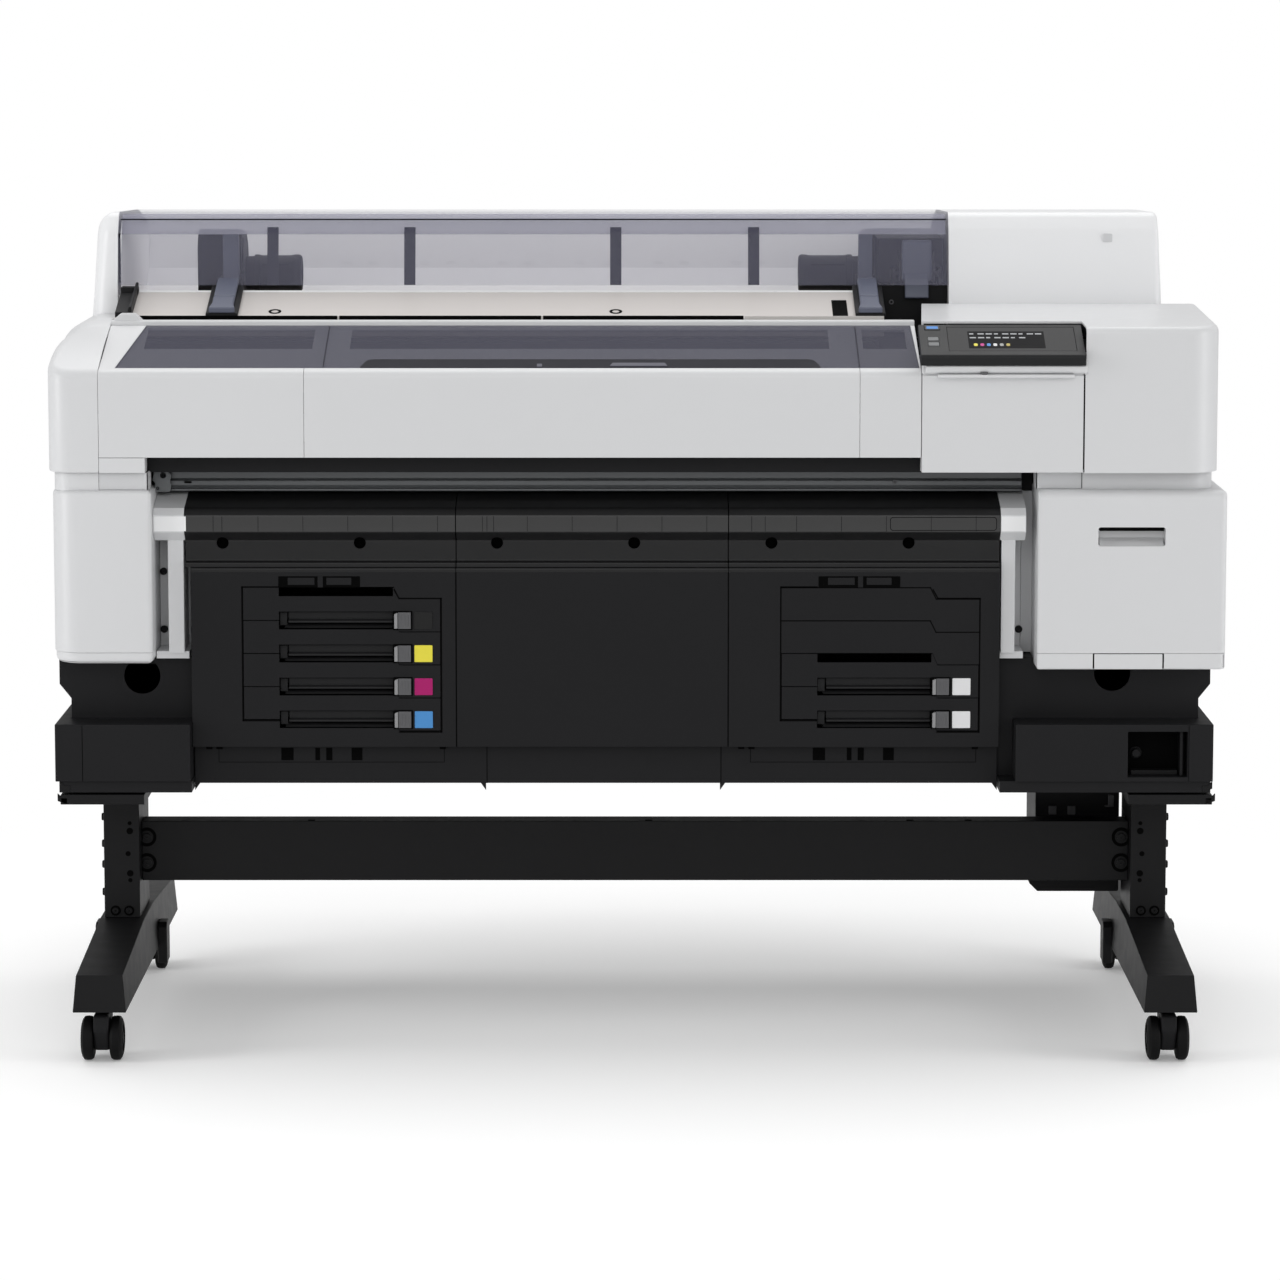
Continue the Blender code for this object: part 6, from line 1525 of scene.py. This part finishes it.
def side_details():
    """White necks over the lower covers, the cutter gate at the left end of the rail and its screws."""
    neck_y = FACE + 0.008
    low, high = span("left_lower_cover", 2)[1] + 0.0003, UPPER_Z - 0.0003
    bm = block((LEFT_SIDE + 0.0705, LEFT_SIDE + 0.1375), (neck_y, neck_y + 0.0025), (low, high))
    block((LEFT_SIDE + 0.1350, LEFT_SIDE + 0.1375), (neck_y, neck_y + 0.040), (low, high), bm)
    piece(bm, "left_neck_panel", WHITE_MATT, bevel=0.0005)
    access = span("head_access_cover", 0)[1]
    a = RIGHT_SIDE - 0.2600
    low = span("right_lower_cover", 2)[1] + 0.0003
    bm = block((a, access + 0.001), (FACE + 0.024, FACE + 0.0265), (low, high))
    block((a, a + 0.0025), (FACE + 0.024, FACE + 0.060), (low, high), bm)
    piece(bm, "right_neck_panel", WHITE_MATT, bevel=0.0005)
    bm = bmesh.new()
    line(bm, (access + 0.0008, low + 0.001), (access + 0.0008, high - 0.001), 0.0010, FACE + 0.0238)
    piece(bm, "right_neck_seam", DEEP, bevel=0)
    # gate plate
    plate = [(-0.6640, 0.7560), (-0.6420, 0.7560), (-0.6400, 0.7660), (-0.6420, 0.7700), (-0.6400, 0.7790),
             (-0.6440, 0.7840),
             (-0.6440, 0.7900), (-0.6510, 0.7915), (-0.6570, 0.7865), (-0.6640, 0.7850), (-0.6660, 0.7720),
             (-0.6620, 0.7680)]
    plate = round_corners(plate, 0.0016, 3)
    obj = loose(prism("Y", plate, -0.2480, -0.2455))
    for spot, r in (((-0.6515, 0.7790), 0.0042), ((-0.6590, 0.7610), 0.0022)):
        bm = bmesh.new()
        turned(bm, "Y", spot, [(-0.26, r), (-0.23, r)], 24)
        obj = boolean(obj, loose(bm))
    obj.name = "rail_gate_plate"
    settle(obj, RAIL, "frame", bevel=0.0004, smooth=30)
    bm = bmesh.new()
    block((-0.6600, -0.6450), (-0.2456, -0.2120), (0.7570, 0.7600), bm)
    block((-0.6600, -0.6570), (-0.2456, -0.2120), (0.7570, 0.7830), bm)
    piece(bm, "rail_gate_bracket", RAIL, bevel=0.0006)
    bolt("gate_screw", (-0.6590, -0.2440, 0.7610), (0, -1, 0), 0.0030, "frame", height=0.0028)
    bolt("rail_screw", (0.3540, -0.2360, 0.7690), (0, -1, 0), 0.0032, "frame", height=0.0030, mat=LOCK)
    bm = bmesh.new()
    prism("Y", round_corners([(-0.6235, 0.7668), (-0.6130, 0.7668), (-0.6130, 0.7698), (-0.6235, 0.7698)],
                             0.0014, 4), -0.2370, -0.2340, bm)
    piece(bm, "rail_slot", DEEP, bevel=0)
    # deep-black strip under the front cover's edge, above the rail: painted shadow
    bm = block((-0.6600, 0.5300), (-0.2420, -0.2405), (0.7865, 0.8080))
    piece(bm, "rail_painted_shadow", DEEP, bevel=0)
    lid = span("head_access_cover", 2)[1]
    panel_low = span("control_panel", 2)[0]
    ends = span("head_access_cover", 0)
    bm = block((ends[0] + 0.0005, ends[1] - 0.0005), (FACE + 0.0010, FACE + 0.0040),
               (lid + 0.0003, panel_low - 0.0112))
    piece(bm, "access_head_strip", WHITE, bevel=0.0003)
    bm = bmesh.new()
    line(bm, (ends[1] + 0.0013, span("head_access_cover", 2)[0] + 0.001), (ends[1] + 0.0013, lid), 0.0012,
         FACE + 0.0001)
    piece(bm, "access_side_seam", DEEP, bevel=0)
    # frame plates beside the exit guide
    back = span("left_guide_cap", 1)[1]
    for k, z in enumerate((0.6409, 0.5601)):
        bolt("left_plate_bolt_%d" % k, (-0.6565, back - 0.0030, z), (0, -1, 0), 0.0052, "frame",
             height=0.0034)
    bolt("right_plate_bolt", (0.5290, back - 0.0030, 0.5601), (0, -1, 0), 0.0052, "frame", height=0.0034)
    a, b = span("right_guide_cap", 0)[1], span("right_lower_cover", 0)[0]
    bm = block((a + 0.0003, b + 0.003), (back - 0.0030, back - 0.0004), (0.5280, 0.7530))
    block((a + 0.0003, b + 0.003), (back - 0.0036, back - 0.0028), (0.6320, 0.7530), bm)
    piece(bm, "right_plate", WHITE_MATT, bevel=0.0004)


# ---- studio -------------------------------------------------------------------------------
def studio():
    """Pale floor that fades to white, soft lamps and the camera."""
    scene = bpy.context.scene
    scene.view_settings.view_transform = "Standard"
    bm = bmesh.new()
    bmesh.ops.create_grid(bm, x_segments=1, y_segments=1, size=40)
    mesh = bpy.data.meshes.new("floor")
    bm.to_mesh(mesh)
    bm.free()
    floor = bpy.data.objects.new("floor", mesh)
    scene.collection.objects.link(floor)
    floor.location.z = CAD_LOW.z
    made, tree, shader = shader_nodes("floor_white")
    shader.inputs["Base Color"].default_value = (0.93, 0.93, 0.93, 1)
    shader.inputs["Roughness"].default_value = 0.9
    shader.inputs["Specular IOR Level"].default_value = 0.0
    rays = tree.nodes.new("ShaderNodeLightPath")
    lift = tree.nodes.new("ShaderNodeMath")
    lift.operation = "MULTIPLY"
    lift.inputs[1].default_value = 0.17
    tree.links.new(rays.outputs["Is Camera Ray"], lift.inputs[0])
    shader.inputs["Emission Color"].default_value = (1, 1, 1, 1)
    tree.links.new(lift.outputs[0], shader.inputs["Emission Strength"])
    place = tree.nodes.new("ShaderNodeTexCoord")
    sized = tree.nodes.new("ShaderNodeMapping")
    sized.inputs["Scale"].default_value = (0.72, 0.62, 1)
    reach = tree.nodes.new("ShaderNodeVectorMath")
    reach.operation = "LENGTH"
    fade = tree.nodes.new("ShaderNodeMapRange")
    fade.interpolation_type = "SMOOTHSTEP"
    fade.inputs["From Min"].default_value = 0.55
    fade.inputs["From Max"].default_value = 1.15
    both = tree.nodes.new("ShaderNodeMath")
    both.operation = "MULTIPLY"
    glow = tree.nodes.new("ShaderNodeEmission")
    blend = tree.nodes.new("ShaderNodeMixShader")
    link = tree.links.new
    link(place.outputs["Object"], sized.inputs["Vector"])
    link(sized.outputs["Vector"], reach.inputs[0])
    link(reach.outputs["Value"], fade.inputs["Value"])
    link(fade.outputs["Result"], both.inputs[0])
    link(rays.outputs["Is Camera Ray"], both.inputs[1])
    link(both.outputs[0], blend.inputs[0])
    link(shader.outputs[0], blend.inputs[1])
    link(glow.outputs[0], blend.inputs[2])
    link(blend.outputs[0], tree.nodes["Material Output"].inputs["Surface"])
    mesh.materials.append(made)

    world = bpy.data.worlds.new("studio")
    scene.world = world
    world.use_nodes = True
    tree = world.node_tree
    tree.nodes.clear()
    new, link = tree.nodes.new, tree.links.new
    out = new("ShaderNodeOutputWorld")
    soft, clean = new("ShaderNodeBackground"), new("ShaderNodeBackground")
    soft.inputs["Strength"].default_value = 0.62
    clean.inputs["Strength"].default_value = 1.0
    clean.inputs["Color"].default_value = (1, 1, 1, 1)
    rays = new("ShaderNodeLightPath")
    seen = new("ShaderNodeMath")
    seen.operation = "MAXIMUM"
    link(rays.outputs["Is Camera Ray"], seen.inputs[0])
    link(rays.outputs["Is Transmission Ray"], seen.inputs[1])
    mix = new("ShaderNodeMixShader")
    link(seen.outputs[0], mix.inputs[0])
    link(soft.outputs[0], mix.inputs[1])
    link(clean.outputs[0], mix.inputs[2])
    link(mix.outputs[0], out.inputs["Surface"])

    def lamp(name, place, aim, size, power):
        data = bpy.data.lights.new(name, "AREA")
        data.shape = "RECTANGLE"
        data.size, data.size_y = size
        data.energy = power
        obj = bpy.data.objects.new(name, data)
        scene.collection.objects.link(obj)
        obj.location = place
        obj.rotation_euler = (Vector(aim) - Vector(place)).to_track_quat("-Z", "Y").to_euler()
    lamp("overhead", (0, 1.2, 4.2), (0, 0, 0.5), (5.0, 3.0), 96)
    lamp("front_soft", (0, -5.5, 3.0), (0, 0, 0.7), (4.0, 2.5), 54)
    lamp("left_strip", (-4.2, -1.6, 1.6), (0, 0, 0.7), (1.2, 3.0), 56)
    lamp("right_strip", (4.2, -1.6, 1.6), (0, 0, 0.7), (1.2, 3.0), 44)

    data = bpy.data.cameras.new("camera")
    data.sensor_width = 36.0
    data.lens = 131.55
    data.shift_x = 0.0039
    data.shift_y = -0.06
    camera = bpy.data.objects.new("camera", data)
    scene.collection.objects.link(camera)
    camera.location = (-0.0033, -6.6385, 1.4253)
    camera.rotation_euler = (math.radians(90 - 6.852), 0, 0)
    scene.camera = camera


studio()
all_covers()
roll_window()
exit_guide()
cabinet()
drawer_details()
control_panel()
window_details()
roll_bay()
roll_cover_details()
holders()
media_lever()
casters()
stand_details()
base_details()
side_details()

for node_name in NODES:
    if node_name not in REPLACED:
        dress(node_name)
